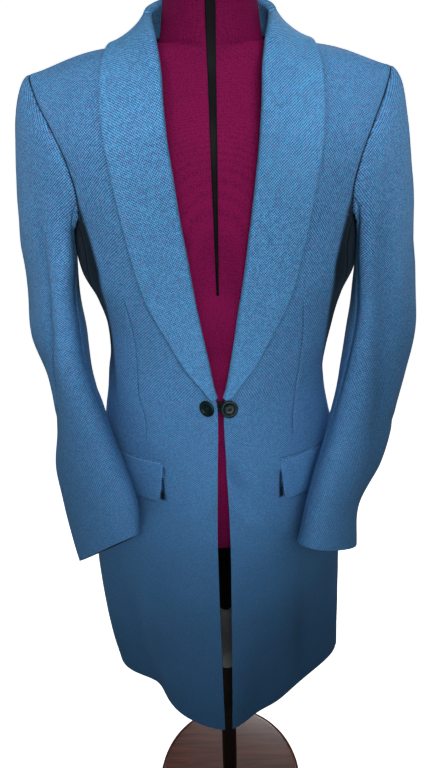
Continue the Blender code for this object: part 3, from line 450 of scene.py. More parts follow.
# Heights between which the weave's contrast grows from calm to full
CALM_LOW = 0.85
CALM_HIGH = 1.36

# Unevenness of each cloth: size of a wave, its height and where its noise starts
RIPPLES = {
    "front": (0.055, 0.0012, 3),
    "back": (0.06, 0.0014, 11),
    "side": (0.06, 0.0010, 17),
    "sleeve": (0.05, 0.0016, 23),
    "collar": (0.05, 0.0010, 31),
    "collar edge": (0.011, 0.0009, 37),
    "flap": (0.03, 0.0007, 41),
}

# How pressed seams and edges pull the cloth in: reach and depth
SEAM_PRESS = (0.0032, 0.0009)
COLLAR_PRESS = (0.0035, 0.0009)
FLAP_PRESS = (0.0035, 0.0007)
ARM_PRESS = (0.004, 0.0006)
DART_PRESS = (0.0022, 0.0011)
# The dark lines of the seams and the dart: partly painted shade in their grooves, partly stitching
SEAM_LINE = 0.0016  # half breadth of the dark line in a seam
DART_LINE = 0.0013

# The seam value, which also carries painted shade and painted light: 1 is a dark seam or painted
# shade, 2 is nearly black, and below 0 the cloth is painted lighter
FULL_SHADE = 2.0
ARMHOLE_SHADE = 1.6
JET_SHADE = 0.8
FRONT_SEAM_SHARE = 0.35  # the sleeve's front seam is this much of a full one
COLLAR_EDGE_SHADE = 0.55
BESIDE_COLLAR_SHADE = 0.62
UNDER_FLAP_SHADE = 0.95
FLAP_PAINTED_LIGHT = -0.35
FLAP_EDGE_PAINTED_LIGHT = -0.65

# Slant of the weave's grains against the threads that run round the piece, in degrees
COAT_SLANT = -40.0
COLLAR_SLANT = 40.0
LOW_CAST = (1.06, 0.88, 1.0, 1.0)  # the cloth looks a little more violet down the skirt

# Camera, from the photograph: focal length and shift in its pixels
PHOTO_HEIGHT = 768
FOCAL_PIXELS = 590
SHIFT_PIXELS = -5
CAMERA_PLACE = (0.0, -0.75, 1.53)
CAMERA_PITCH = 60.0
CAMERA_ROLL = -1.5

# Studio: a round white room, seen from every side
STUDIO_RADIUS = 7.0
STUDIO_COVE = 1.4
STUDIO_HEIGHT = 7.0

# Lights: name, place, aim, diameter, the setting with its power, and its beam in degrees
LIGHTS = (
    ("key_softbox", (0.16, -1.30, 2.20), (0, 0, 1.42), 0.6, "key_power", 75.0),
    ("low_softbox", (-0.8, -1.3, 0.85), (0, 0, 0.80), 0.8, "low_power", 50.0),
    ("chest_spot", (0, -0.95, 2.0), (0, -0.10, 1.35), 0.3, "chest_power", 26.0),
    ("waist_spot", (0, -0.95, 1.6), (0, -0.13, 1.07), 0.3, "waist_power", 26.0),
    ("shoulder_spot_right", (-0.32, -0.65, 2.0), (-0.17, -0.04, 1.49), 0.3, "shoulder_power", 24.0),
    ("shoulder_spot_left", (0.32, -0.65, 2.0), (0.17, -0.04, 1.49), 0.3, "shoulder_power", 24.0),
    ("sleeve_spot", (-0.62, -1.0, 1.9), (-0.20, -0.08, 1.30), 0.3, "sleeve_power", 17.0),
    ("side_spot", (0.95, -0.75, 1.8), (0.26, -0.03, 1.36), 0.3, "side_spot_power", 18.0),
    ("back_softbox", (0.3, 2.0, 1.9), (0, 0, 1.1), 1.2, "back_power", 120.0),
    ("side_softbox_right", (-1.9, 1.1, 1.6), (0, 0, 1.1), 1.0, "side_power", 100.0),
    ("side_softbox_left", (1.9, 1.1, 1.6), (0, 0, 1.1), 1.0, "side_power", 100.0),
)

SIDES = ((1, "left"), (-1, "right"))


# Curves and the coat's surface, the same as in the solids, for whole arrays of places


def mix(a, b, share):
    return a + (b - a) * share


def clamp(value, low=0.0, high=1.0):
    return np.minimum(np.maximum(value, low), high)


def smooth_step(value):
    value = clamp(value)
    return value * value * (3 - 2 * value)


def curve_between(start, start_slope, end, end_slope, u):
    """A smooth curve from start to end, with its slopes there; u runs from 0 to 1."""
    return (
        (2 * u**3 - 3 * u**2 + 1) * start
        + (u**3 - 2 * u**2 + u) * start_slope
        + (3 * u**2 - 2 * u**3) * end
        + (u**3 - u**2) * end_slope
    )


def read_table(rows, column, key):
    """A smooth curve through one column of a table, keyed by its first column."""
    rows = sorted(rows, key=lambda row: row[0])
    keys = np.array([row[0] for row in rows], float)
    values = np.array([row[column] for row in rows], float)
    steps = np.diff(values) / np.diff(keys)
    slopes = np.concatenate([steps[:1], steps[:-1], steps[-1:]])
    before, after = steps[:-1], steps[1:]
    same_way = before * after > 0
    total = np.where(same_way, before + after, 1.0)
    slopes[1:-1] = np.where(same_way, 2 * before * after / total, 0.0)
    key = clamp(np.asarray(key, float), keys[0], keys[-1])
    i = clamp(np.searchsorted(keys, key, side="right") - 1, 0, len(keys) - 2).astype(int)
    span = keys[i + 1] - keys[i]
    u = (key - keys[i]) / span
    return curve_between(values[i], span * slopes[i], values[i + 1], span * slopes[i + 1], u)


def shoulder_height(across):
    rise = NECK_RISE * (1 - clamp(across / NECK_REACH) ** 2) ** 2
    fall = np.hypot(across, SHOULDER_BEND) - SHOULDER_BEND
    swell = SHOULDER_SWELL * (1 - clamp(abs(across - SWELL_ACROSS) / SWELL_REACH) ** 2) ** 2
    return SHOULDER_TOP - SHOULDER_SLOPE * fall + rise + swell


def fold_push(side, turn, height):
    push = 0.0 * turn
    for fold_side, centre, breadth, depth, top in FOLDS:
        if fold_side == side:
            reach = clamp((top - height) / (top - HEM_FRONT), 0, 2) ** FOLD_CURVE
            push = push + depth * reach * np.exp(-(((turn - centre) / breadth) ** 2))
    return push


def section_power(turn, height):
    return np.where(turn > 90, 2.0, read_table(BODY, POWER, height))


def across_at(turn, height):
    """Distance from the centre at a turn, before the sides sway."""
    width = read_table(BODY, HALF_WIDTH, height)
    return width * abs(np.sin(np.radians(turn))) ** (2 / section_power(turn, height))


def coat_point(side, turn, height):
    """The coat's outside: turn runs from 0 at the centre front to 180 at the centre back."""
    turn, height = np.broadcast_arrays(np.asarray(turn, float), np.asarray(height, float))
    behind = turn > 90
    depth = np.where(behind, read_table(BODY, BACK_DEPTH, height), read_table(BODY, FRONT_DEPTH, height))
    angle = np.radians(turn)
    along = depth * abs(np.cos(angle)) ** (2 / section_power(turn, height)) * np.where(behind, 1, -1)
    across = across_at(turn, height)
    drop = clamp((shoulder_height(across) - height) / SHOULDER_ROUND)
    along = along * np.sqrt(1 - (1 - drop) ** 2)
    across = across - side * read_table(SWAY, 1, height) * np.sin(angle) ** 2
    reach = np.maximum(np.hypot(across, along), 1e-6)
    scale = 1 + fold_push(side, turn, height) / reach
    return np.stack([side * across * scale, along * scale, height], axis=-1)


def turn_at(across, height, behind=False):
    width = read_table(BODY, HALF_WIDTH, height)
    power = np.where(behind, 2.0, read_table(BODY, POWER, height))
    turn = np.degrees(np.arcsin(clamp(across / width) ** (power / 2)))
    return np.where(behind, 180 - turn, turn)


def unit(vectors):
    return vectors / np.maximum(np.linalg.norm(vectors, axis=-1, keepdims=True), 1e-12)


def coat_normal(side, turn, height):
    low = np.maximum(turn - 0.5, 0.2)
    high = np.minimum(turn + 0.5, 179.8)
    round_way = coat_point(side, high, height) - coat_point(side, low, height)
    up = coat_point(side, turn, height + 0.001) - coat_point(side, turn, height - 0.001)
    return unit(np.cross(round_way, up) * side)


def row_height(turn, height):
    """A row's height at a turn: the lowest rows follow the hem's slope."""
    share = clamp(1 - (height - HEM_FRONT) / HEM_BLEND)
    hem = mix(HEM_FRONT, HEM_SIDE, np.sin(np.radians(clamp(turn, 0, 180))) ** 2)
    return height + (hem - HEM_FRONT) * share


def armhole_place(angle):
    """Turn and height of the armhole, by degrees from the shoulder point round the front."""
    angle = np.asarray(angle, float)
    behind = angle > 180
    key = np.where(behind, 360 - angle, angle)
    across = np.where(behind, read_table(ARMHOLE, 2, key), read_table(ARMHOLE, 1, key))
    height = mix(ARMHOLE_LOW, shoulder_height(ARMHOLE[0][1]), (1 + np.cos(np.radians(angle))) / 2)
    return turn_at(across, height, behind), height


# Sheets: a grid of points with what its creases and its weave need to know


def run_along(points, axis):
    """Distance run along one axis of a grid, from its first row or column."""
    steps = np.linalg.norm(np.diff(points, axis=axis), axis=-1)
    start = np.zeros_like(np.take(steps, [0], axis=axis))
    return np.concatenate([start, np.cumsum(steps, axis=axis)], axis=axis)


def stations(spacing_count, near=(), middle=None):
    """Places from 0 to 1, evenly spread, with closer ones beside the ends and at the middle."""
    places = list(np.linspace(0, 1, spacing_count + 1))
    for offset in near:
        places += [offset, 1 - offset]
    if middle is not None:
        places += [middle] + [middle + sign * offset for offset in near for sign in (-1, 1)]
    places = sorted(set(round(float(place), 6) for place in places))
    kept = [places[0]]
    for place in places[1:]:
        if place - kept[-1] > 0.0018:
            kept.append(place)
    kept[-1] = 1.0
    return np.array(kept)


def face_out(points, flipped):
    """Normals of a grid of points, on the side that its faces show."""
    down = np.gradient(points, axis=0)
    along = np.gradient(points, axis=1)
    return unit(np.cross(down, along) if flipped else np.cross(along, down))


def groove(distance, reach, depth):
    """How far a pressed seam pulls the cloth in, by distance from its edge."""
    return -depth * (1 - clamp(distance / reach)) ** 2


def straight_gap(points, start, end):
    """How far along a straight line each point lies, 0 to 1 within it, and its distance."""
    way = end - start
    along = ((points - start) @ way) / max(way @ way, 1e-12)
    return along, np.linalg.norm(points - start - clamp(along)[..., None] * way, axis=-1)


def crease(points, path, breadth):
    """Push of a soft ridge or trough: path rows are a place and the push there."""
    path = np.array(path, float)
    best = np.full(points.shape[:-1], 1e9)
    size = np.zeros(points.shape[:-1])
    for start, end in zip(path, path[1:]):
        along, gap = straight_gap(points, start[:3], end[:3])
        nearer = gap < best
        best = np.where(nearer, gap, best)
        size = np.where(nearer, mix(start[3], end[3], clamp(along)), size)
    return size * np.exp(-((best / breadth) ** 2))


def creases(points, paths, *distances):
    """Push of several creases, faded out towards the seams."""
    held = np.min([smooth_step(distance / 0.010) for distance in distances], axis=0)
    return held * sum(crease(points, path, breadth) for breadth, path in paths)


def painted_fold_shade_and_light(push):
    """Painted shade in the troughs of creases and painted light on their ridges."""
    return 0.45 * clamp(-push / 0.0045) - 0.28 * clamp(push / 0.0035)


def ripple(points, kind, side, *distances):
    """Slight unevenness of cloth that has hung a while, held flat along its seams."""
    size, height, seed = RIPPLES[kind]
    start = Vector((seed + side, 0, 0))
    values = [noise.noise(Vector(point) / size + start) for point in points.reshape(-1, 3)]
    held = np.min([smooth_step(distance / 0.025) for distance in distances], axis=0)
    return height * held * np.array(values).reshape(points.shape[:2])


def inset_edge(points, row=None, column=None, distance=CLOSED_SEAM):
    """Moves one edge of a grid of points towards the next line of points."""
    if row is not None:
        inner = 1 if row == 0 else row - 1
        points[row] += unit(points[inner] - points[row]) * distance
    else:
        inner = 1 if column == 0 else column - 1
        points[:, column] += unit(points[:, inner] - points[:, column]) * distance


def grid_mesh(name, points, flipped, shade, weave=None):
    """A mesh through a grid, with its weave's own UV map in metres and its seam value, which holds
    its seams' dark lines and its painted shade and painted light.
    """
    rows, columns = points.shape[:2]
    index = np.arange(rows * columns).reshape(rows, columns)
    a, b, c, d = index[:-1, :-1], index[:-1, 1:], index[1:, 1:], index[1:, :-1]
    corners = (a, d, c, b) if flipped else (a, b, c, d)
    faces = np.stack(corners, axis=-1).reshape(-1, 4)
    mesh = bpy.data.meshes.new(name)
    mesh.from_pydata(points.reshape(-1, 3).tolist(), [], faces.tolist())
    across, down = weave or (run_along(points, 1), run_along(points, 0))
    weave = np.stack([across if flipped else -across, down], axis=-1).reshape(-1, 2)
    layer = mesh.uv_layers.new(name="cloth")
    layer.data.foreach_set("uv", weave[faces.reshape(-1)].astype(np.float32).reshape(-1))
    tone = mesh.attributes.new("seam", "FLOAT", "POINT")
    tone.data.foreach_set("value", shade.astype(np.float32).reshape(-1))
    mesh.shade_smooth()
    return mesh


def add_piece(name, mesh, materials, slot, *nodes):
    for material in materials:
        mesh.materials.append(material)
    piece = bpy.data.objects.new(name, mesh)
    bpy.context.scene.collection.objects.link(piece)
    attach(piece, "root")
    if nodes:
        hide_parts(*nodes)
    return piece


def add_cloth(node, points, flipped, push, shade, wall, finish, slot, weave=None, thin=None):
    """A cloth piece in place of its solid: outside, lined inside and a soft edge."""
    points = points + face_out(points, flipped) * push[..., None]
    mesh = grid_mesh(f"cloth_{node}", points, flipped, shade, weave)
    inside = named_material("viscose twill lining, woven", lining)
    piece = add_piece(f"cloth_{node}", mesh, (finish, inside), slot, node)
    shell = piece.modifiers.new("wall", "SOLIDIFY")
    shell.thickness = wall
    shell.offset = -1.0
    shell.material_offset = 1
    shell.material_offset_rim = 0
    if thin is not None:
        group = piece.vertex_groups.new(name="wall")
        for value in np.unique(thin):
            group.add(np.flatnonzero(thin.reshape(-1) == value).tolist(), float(value), "REPLACE")
        shell.vertex_group = "wall"
    edge = piece.modifiers.new("soft edge", "BEVEL")
    edge.width = wall * 0.28
    edge.segments = 2
    edge.limit_method = "ANGLE"
    edge.angle_limit = math.radians(60)
    return piece, points


# Materials


def linear(code):
    """An sRGB hex colour as linear light."""
    channels = [int(code[n : n + 2], 16) / 255 for n in (1, 3, 5)]
    return tuple(c / 12.92 if c <= 0.04045 else ((c + 0.055) / 1.055) ** 2.4 for c in channels) + (1.0,)


def fill_inputs(tree, node, inputs):
    """Sets inputs of a node, each to a value or linked to a socket."""
    for key, value in inputs.items():
        if isinstance(value, bpy.types.NodeSocket):
            tree.links.new(value, node.inputs[key])
        else:
            node.inputs[key].default_value = value


def add_node(tree, kind, settings=None, inputs=None):
    """A node with its settings, and its inputs as values or as sockets to link."""
    node = tree.nodes.new(kind)
    for key, value in (settings or {}).items():
        setattr(node, key, value)
    fill_inputs(tree, node, inputs or {})
    return node


def named_material(name, describe, *sizes):
    """The material of a name, made once; describe gives the inputs of its shader."""
    if name not in bpy.data.materials:
        material = bpy.data.materials.new(name)
        material.use_nodes = True
        tree = material.node_tree
        tree.nodes.clear()
        shader = add_node(tree, "ShaderNodeBsdfPrincipled")
        add_node(tree, "ShaderNodeOutputMaterial", None, {"Surface": shader.outputs["BSDF"]})
        fill_inputs(tree, shader, describe(tree, *sizes))
    return bpy.data.materials[name]


def math_node(tree, operation, *values):
    return add_node(tree, "ShaderNodeMath", {"operation": operation}, dict(enumerate(values))).outputs[0]


def spread(tree, value, low=0.0, high=1.0, to_low=0.0, to_high=1.0):
    """A value carried from one range to another, and held at its ends."""
    inputs = {"Value": value, "From Min": low, "From Max": high, "To Min": to_low, "To Max": to_high}
    return add_node(tree, "ShaderNodeMapRange", None, inputs).outputs[0]


def noise_at(tree, place, scale, detail=2.0, output="Fac", **more):
    inputs = {"Vector": place, "Scale": scale, "Detail": detail, **more}
    return add_node(tree, "ShaderNodeTexNoise", None, inputs).outputs[output]


def object_place(tree):
    return add_node(tree, "ShaderNodeTexCoord").outputs["Object"]


def cloth_place(tree):
    return add_node(tree, "ShaderNodeUVMap", {"uv_map": "cloth"}).outputs["UV"]


def colour_mix(tree, share, first, second, blend="MIX"):
    settings = {"data_type": "RGBA", "blend_type": blend}
    return add_node(tree, "ShaderNodeMix", settings, {0: share, 6: first, 7: second}).outputs[2]


def two_tone(tree, share, first, second):
    return colour_mix(tree, share, linear(first), linear(second))


def toned(tree, colour, tone):
    settings = {"operation": "SCALE"}
    return add_node(tree, "ShaderNodeVectorMath", settings, {0: colour, "Scale": tone}).outputs[0]


def bump(tree, height, strength, distance, invert=False):
    inputs = {"Height": height, "Strength": strength, "Distance": distance}
    return add_node(tree, "ShaderNodeBump", {"invert": invert}, inputs).outputs[0]


def woven_wool(tree, light, lilac, mid, dark, turned, pitch):
    """Worsted wool in a barleycorn weave: pale and navy yarns that lie in small slanting grains,
    some of the pale ones with a lilac cast, matt, with a faint pale nap where the light grazes
    it. The grains are drawn about twice their real size, so that they show, and fade down the
    skirt, where the cloth looks smooth."""
    cloth = cloth_place(tree)
    wander = noise_at(tree, cloth, 70.0, 4.0, "Color", Roughness=0.7)
    wander = add_node(
        tree, "ShaderNodeVectorMath", {"operation": "MULTIPLY_ADD"}, {0: wander, 1: (0.0010,) * 3, 2: cloth}
    ).outputs[0]
    slanted = add_node(
        tree,
        "ShaderNodeMapping",
        {"vector_type": "TEXTURE"},
        {"Vector": wander, "Rotation": (0, 0, math.radians(turned)), "Scale": (pitch, pitch, 1.0)},
    ).outputs[0]
    grain = add_node(
        tree,
        "ShaderNodeTexVoronoi",
        {"voronoi_dimensions": "2D", "feature": "F1"},
        {"Vector": slanted, "Scale": 1.6, "Randomness": 0.70},
    ).outputs
    chance = add_node(tree, "ShaderNodeSeparateColor", None, {0: grain["Color"]}).outputs
    rows = add_node(tree, "ShaderNodeSeparateXYZ", None, {0: slanted}).outputs
    twill, ribs = (
        math_node(tree, "SINE", math_node(tree, "MULTIPLY", rows[axis], 2 * math.pi)) for axis in "YX"
    )
    relief = spread(tree, grain["Distance"], 0.0, 0.62, 0.5, -0.5)
    raised = math_node(tree, "MULTIPLY_ADD", twill, 0.24, math_node(tree, "MULTIPLY", ribs, 0.24))
    raised = math_node(tree, "MULTIPLY_ADD", chance[0], 0.36, raised)
    raised = math_node(tree, "MULTIPLY_ADD", relief, 0.20, raised)
    yarn = spread(tree, raised, -0.12, 0.48)
    level = add_node(tree, "ShaderNodeSeparateXYZ", None, {0: object_place(tree)}).outputs["Z"]
    calm = spread(tree, level, CALM_LOW, CALM_HIGH, 0.66, 0.0)
    yarn = add_node(tree, "ShaderNodeMix", None, {0: calm, 2: yarn, 3: 0.5}).outputs[0]
    lively = math_node(tree, "SUBTRACT", 1.0, calm)
    cast = math_node(tree, "MULTIPLY", spread(tree, chance[1], 0.55, 0.70), lively)
    threads = colour_mix(tree, yarn, linear(dark), two_tone(tree, cast, light, lilac))
    fleck = spread(tree, noise_at(tree, cloth, 420.0), 0.35, 0.70)
    threads = colour_mix(tree, math_node(tree, "MULTIPLY", fleck, 0.25), threads, linear(mid))
    tone = spread(tree, noise_at(tree, cloth, 9.0, 3.0), 0.3, 0.7, 0.94, 1.06)
    # The seam value darkens the cloth along its seams and with painted shade, and lightens it with painted
    # light
    seam = add_node(tree, "ShaderNodeAttribute", {"attribute_name": "seam"}).outputs["Fac"]
    for seam_and_painted_light_range in SEAM_AND_PAINTED_LIGHT_TONES:
        tone = math_node(tree, "MULTIPLY", tone, spread(tree, seam, *seam_and_painted_light_range))
    threads = colour_mix(tree, calm, threads, LOW_CAST, "MULTIPLY")
    return {
        "Base Color": toned(tree, threads, tone),
        "Roughness": spread(tree, fleck, 0.0, 1.0, 0.78, 0.92),
        "Normal": bump(tree, raised, 0.35, 0.0004),
        "IOR": 1.5,
        "Specular IOR Level": 0.15,
        "Sheen Weight": 0.08,
        "Sheen Roughness": 0.55,
        "Sheen Tint": linear("#9CC4E4"),
    }


def coat_wool():
    look = bpy.context.scene.day_coat
    yarns = (look.light_yarn, look.lilac_yarn, look.cloth, look.dark_yarn)
    return named_material("worsted wool, woven", woven_wool, *yarns, COAT_SLANT, look.weave_pitch)


def collar_wool():
    look = bpy.context.scene.day_coat
    yarns = (look.collar_light_yarn, look.collar_lilac_yarn, look.collar_cloth, look.collar_dark_yarn)
    name = "worsted wool, woven and pressed"
    return named_material(name, woven_wool, *yarns, COLLAR_SLANT, look.collar_pitch)


def lining(tree):
    """Twill lining, woven viscose: smooth, dark, with a soft silky gloss along its ribs."""
    ribs = add_node(
        tree,
        "ShaderNodeTexWave",
        {"wave_type": "BANDS", "bands_direction": "DIAGONAL"},
        {"Vector": cloth_place(tree), "Scale": 120.0, "Distortion": 0.4},
    ).outputs["Fac"]
    return {
        "Base Color": two_tone(tree, ribs, "#141C2C", "#1D283C"),
        "Normal": bump(tree, ribs, 0.2, 0.0002),
        "Roughness": 0.45,
    }


def horn(tree):
    """Horn, turned and polished, dyed dark green: a deep body colour, streaked, with a soft
    gloss that shows the turned rings."""
    streak = noise_at(tree, object_place(tree), 260.0, 3.0, Distortion=1.2)
    streak = spread(tree, streak, 0.35, 0.7)
    return {
        "Base Color": two_tone(tree, streak, "#060C0E", "#0E2A2A"),
        "Roughness": spread(tree, streak, 0.0, 1.0, 0.34, 0.50),
        "IOR": 1.56,
        "Specular IOR Level": 0.14,
        "Coat Weight": 0.04,
        "Coat Roughness": 0.30,
    }


def braid(tree):
    """Viscose braid, plaited: near black with a purple cast, silky on each strand."""
    fibre = noise_at(tree, object_place(tree), 1400.0, 1.0)
    return {
        "Base Color": two_tone(tree, fibre, "#060509", "#1B1626"),
        "Roughness": 0.6,
        "Specular IOR Level": 0.12,
        "Sheen Weight": 0.03,
    }


def thread(tree, code):
    """Polyester sewing thread, spun: fine, a little glossier than the cloth."""
    twist = noise_at(tree, object_place(tree), 2500.0, 1.0)
    tone = spread(tree, twist, 0.0, 1.0, 0.75, 1.15)
    return {"Base Color": toned(tree, linear(code)[:3], tone), "Roughness": 0.55}


def jersey(tree):
    """Cotton jersey, knitted and stretched over the form: matt, plum, in fine loops. They are
    drawn at 1.6 mm, about twice their real size, so that they show."""
    look = bpy.context.scene.day_coat
    place = object_place(tree)
    inputs = {"Vector": place, "Scale": 620.0, "Randomness": 0.55}
    loops = add_node(tree, "ShaderNodeTexVoronoi", {"feature": "F1"}, inputs).outputs["Distance"]
    colour = two_tone(tree, spread(tree, loops, 0.1, 0.75), look.form_cloth, look.form_deep)
    tone = spread(tree, noise_at(tree, place, 14.0, 3.0), 0.3, 0.7, 0.9, 1.1)
    return {
        "Base Color": toned(tree, colour, tone),
        "Normal": bump(tree, loops, 0.4, 0.0004, invert=True),
        "Roughness": 0.85,
        "Specular IOR Level": 0.06,
        "Sheen Weight": 0.02,
        "Sheen Roughness": 0.5,
        "Sheen Tint": linear("#C04080"),
    }


def smooth_finish(tree, first, second, scale, roughness, shine):
    """A hard finish with slight cloudiness and fine wear in its gloss."""
    cloud = spread(tree, noise_at(tree, object_place(tree), scale, 4.0), 0.35, 0.65)
    return {
        "Base Color": two_tone(tree, cloud, first, second),
        "Roughness": spread(tree, cloud, 0.0, 1.0, roughness - 0.05, roughness + 0.08),
        "Specular IOR Level": shine,
    }


def stained_wood(tree):
    """Beech, turned, stained red-brown and lacquered: straight grain under a soft gloss."""
    inputs = {"Vector": object_place(tree), "Scale": (6.0, 90.0, 90.0)}
    stretched = add_node(tree, "ShaderNodeMapping", None, inputs).outputs[0]
    grain = noise_at(tree, stretched, 1.0, 5.0, Roughness=0.6, Distortion=0.6)
    grain = spread(tree, grain, 0.35, 0.68)
    return {
        "Base Color": two_tone(tree, grain, "#3A1710", "#6E3220"),
        "Normal": bump(tree, grain, 0.15, 0.0003),
        "Roughness": 0.38,
        "Coat Weight": 0.4,
        "Coat Roughness": 0.2,
    }


def studio_paper(tree):
    """Matt white paper that glows enough to look white from every side."""
    cloud = noise_at(tree, object_place(tree), 0.8)
    return {
        "Base Color": two_tone(tree, cloud, "#F4F4F3", "#F8F8F8"),
        "Roughness": 0.9,
        "Emission Color": (1, 1, 1, 1),
        "Emission Strength": bpy.context.scene.day_coat.paper_glow,
    }


# Geometry Nodes for what follows a path


def new_tree(name, sizes):
    tree = bpy.data.node_groups.new(name, "GeometryNodeTree")
    tree.interface.new_socket("Path", in_out="INPUT", socket_type="NodeSocketGeometry")
    for label, value in sizes.items():
        kind = "NodeSocketInt" if isinstance(value, int) else "NodeSocketFloat"
        socket = tree.interface.new_socket(label, in_out="INPUT", socket_type=kind)
        socket.default_value = value
    tree.interface.new_socket("Finish", in_out="INPUT", socket_type="NodeSocketMaterial")
    tree.interface.new_socket("Result", in_out="OUTPUT", socket_type="NodeSocketGeometry")
    return tree, add_node(tree, "NodeGroupInput").outputs


def stitch_tree():
    """Small stitches laid end to end along a path, with a gap between them."""
    name = "stitches along a path"
    if name in bpy.data.node_groups:
        return bpy.data.node_groups[name]
    tree, given = new_tree(name, {"Pitch": 0.0035, "Length": 0.0024, "Thickness": 0.0006})
    line = add_node(tree, "GeometryNodeMeshToCurve", None, {"Mesh": given["Path"]})
    spots = add_node(
        tree,
        "GeometryNodeCurveToPoints",
        {"mode": "LENGTH"},
        {"Curve": line.outputs[0], "Length": given["Pitch"]},
    )
    ball = add_node(tree, "GeometryNodeMeshUVSphere", None, {"Segments": 6, "Rings": 4, "Radius": 0.5})
    size = add_node(
        tree,
        "ShaderNodeCombineXYZ",
        None,
        {"X": given["Length"], "Y": given["Thickness"], "Z": given["Thickness"]},
    )
    stitch = add_node(
        tree, "GeometryNodeTransform", None, {"Geometry": ball.outputs["Mesh"], "Scale": size.outputs[0]}
    )
    lie = add_node(
        tree, "FunctionNodeAlignRotationToVector", {"axis": "X"}, {"Vector": spots.outputs["Tangent"]}
    )
    laid = add_node(
        tree,
        "GeometryNodeInstanceOnPoints",
        None,
        {"Points": spots.outputs["Points"], "Instance": stitch.outputs[0], "Rotation": lie.outputs[0]},
    )
    return close_tree(tree, laid.outputs[0], given)


def close_tree(tree, result, given):
    real = add_node(tree, "GeometryNodeRealizeInstances", None, {"Geometry": result})
    smooth = add_node(tree, "GeometryNodeSetShadeSmooth", None, {0: real.outputs[0]})
    dressed = add_node(
        tree,
        "GeometryNodeSetMaterial",
        None,
        {"Geometry": smooth.outputs[0], "Material": given["Finish"]},
    )
    output = add_node(tree, "NodeGroupOutput")
    tree.links.new(dressed.outputs[0], output.inputs[0])
    return tree


def plait_tree():
    """Strands that swing from side to side and over each other along a path, evenly spaced in
    time, as in a flat plait."""
    name = "plait along a path"
    if name in bpy.data.node_groups:
        return bpy.data.node_groups[name]
    sizes = {"Strands": 3, "Swing": 0.0016, "Lift": 0.0007, "Turns": 3.0, "Thickness": 0.0011}
    tree, given = new_tree(name, sizes)
    line = add_node(tree, "GeometryNodeMeshToCurve", None, {"Mesh": given["Path"]})
    fine = add_node(tree, "GeometryNodeResampleCurve", None, {"Curve": line.outputs[0], "Count": 64})
    copies = add_node(
        tree,
        "GeometryNodeDuplicateElements",
        {"domain": "SPLINE"},
        {"Geometry": fine.outputs[0], "Amount": given["Strands"]},
    )
    number = copies.outputs["Duplicate Index"]
    share = math_node(tree, "DIVIDE", number, given["Strands"])
    factor = add_node(tree, "GeometryNodeSplineParameter").outputs["Factor"]
    turns = math_node(tree, "MULTIPLY_ADD", factor, given["Turns"], share)
    phase = math_node(tree, "MULTIPLY", turns, 2 * math.pi)
    swing = math_node(tree, "SINE", phase)
    lift = math_node(tree, "SINE", math_node(tree, "MULTIPLY", phase, 2.0))
    up = math_node(tree, "MULTIPLY", swing, given["Swing"])
    out = math_node(tree, "MULTIPLY", lift, given["Lift"])
    offset = add_node(tree, "ShaderNodeCombineXYZ", None, {"Y": out, "Z": up})
    moved = add_node(
        tree,
        "GeometryNodeSetPosition",
        None,
        {"Geometry": copies.outputs["Geometry"], "Offset": offset.outputs[0]},
    )
    ring = add_node(
        tree, "GeometryNodeCurvePrimitiveCircle", None, {"Resolution": 8, "Radius": given["Thickness"]}
    )
    strands = add_node(
        tree,
        "GeometryNodeCurveToMesh",
        None,
        {"Curve": moved.outputs[0], "Profile Curve": ring.outputs[0], "Fill Caps": True},
    )
    return close_tree(tree, strands.outputs[0], given)


def run_tree(name, paths, tree, sizes, finish):
    """A plain mesh of what a tree makes along some paths of points."""
    points = []
    edges = []
    for path in paths:
        first = len(points)
        points += [tuple(point) for point in path]
        edges += [(first + n, first + n + 1) for n in range(len(path) - 1)]
    line = bpy.data.meshes.new(f"{name}_path")
    line.from_pydata(points, edges, [])
    carrier = bpy.data.objects.new(f"{name}_path", line)
    bpy.context.scene.collection.objects.link(carrier)
    modifier = carrier.modifiers.new("nodes", "NODES")
    modifier.node_group = tree
    for socket in tree.interface.items_tree:
        if socket.item_type == "SOCKET" and socket.in_out == "INPUT":
            if socket.name in sizes:
                modifier[socket.identifier] = sizes[socket.name]
            if socket.name == "Finish":
                modifier[socket.identifier] = finish
    bpy.context.view_layer.update()
    depsgraph = bpy.context.evaluated_depsgraph_get()
    mesh = bpy.data.meshes.new_from_object(carrier.evaluated_get(depsgraph))
    mesh.name = name
    bpy.data.objects.remove(carrier, do_unlink=True)
    bpy.data.meshes.remove(line)
    piece = bpy.data.objects.new(name, mesh)
    bpy.context.scene.collection.objects.link(piece)
    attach(piece, "root")
    return piece


# Fronts, sides and backs

NEAR = (0.0022, 0.0050, 0.0090, 0.0150)  # closer columns beside a seam, as shares of the width


def lower_heights(top, step=0.0042):
    count = int(round((top - HEM_FRONT) / step))
    return np.linspace(HEM_FRONT, top, count + 1)


def upper_angles():
    return np.concatenate([np.linspace(FRONT_CORNER, 4, 48), [2.4, 1.2, 0.0]])


def upper_rows(side, inner_turn, inner_height, outer_turn, outer_height, shares, level):
    """Rows over the armhole's lowest corner: level is 1 at the shoulder seam."""
    inner_drop = shoulder_height(across_at(inner_turn, inner_height)) - inner_height
    outer_drop = shoulder_height(across_at(outer_turn, outer_height)) - outer_height
    turn = mix(inner_turn[:, None], outer_turn[:, None], shares)
    height = mix(inner_height[:, None], outer_height[:, None], shares)
    sloped = shoulder_height(across_at(turn, height))
    sloped = sloped - mix(inner_drop[:, None], outer_drop[:, None], shares)
    return coat_point(side, turn, mix(height, sloped, level[:, None]))


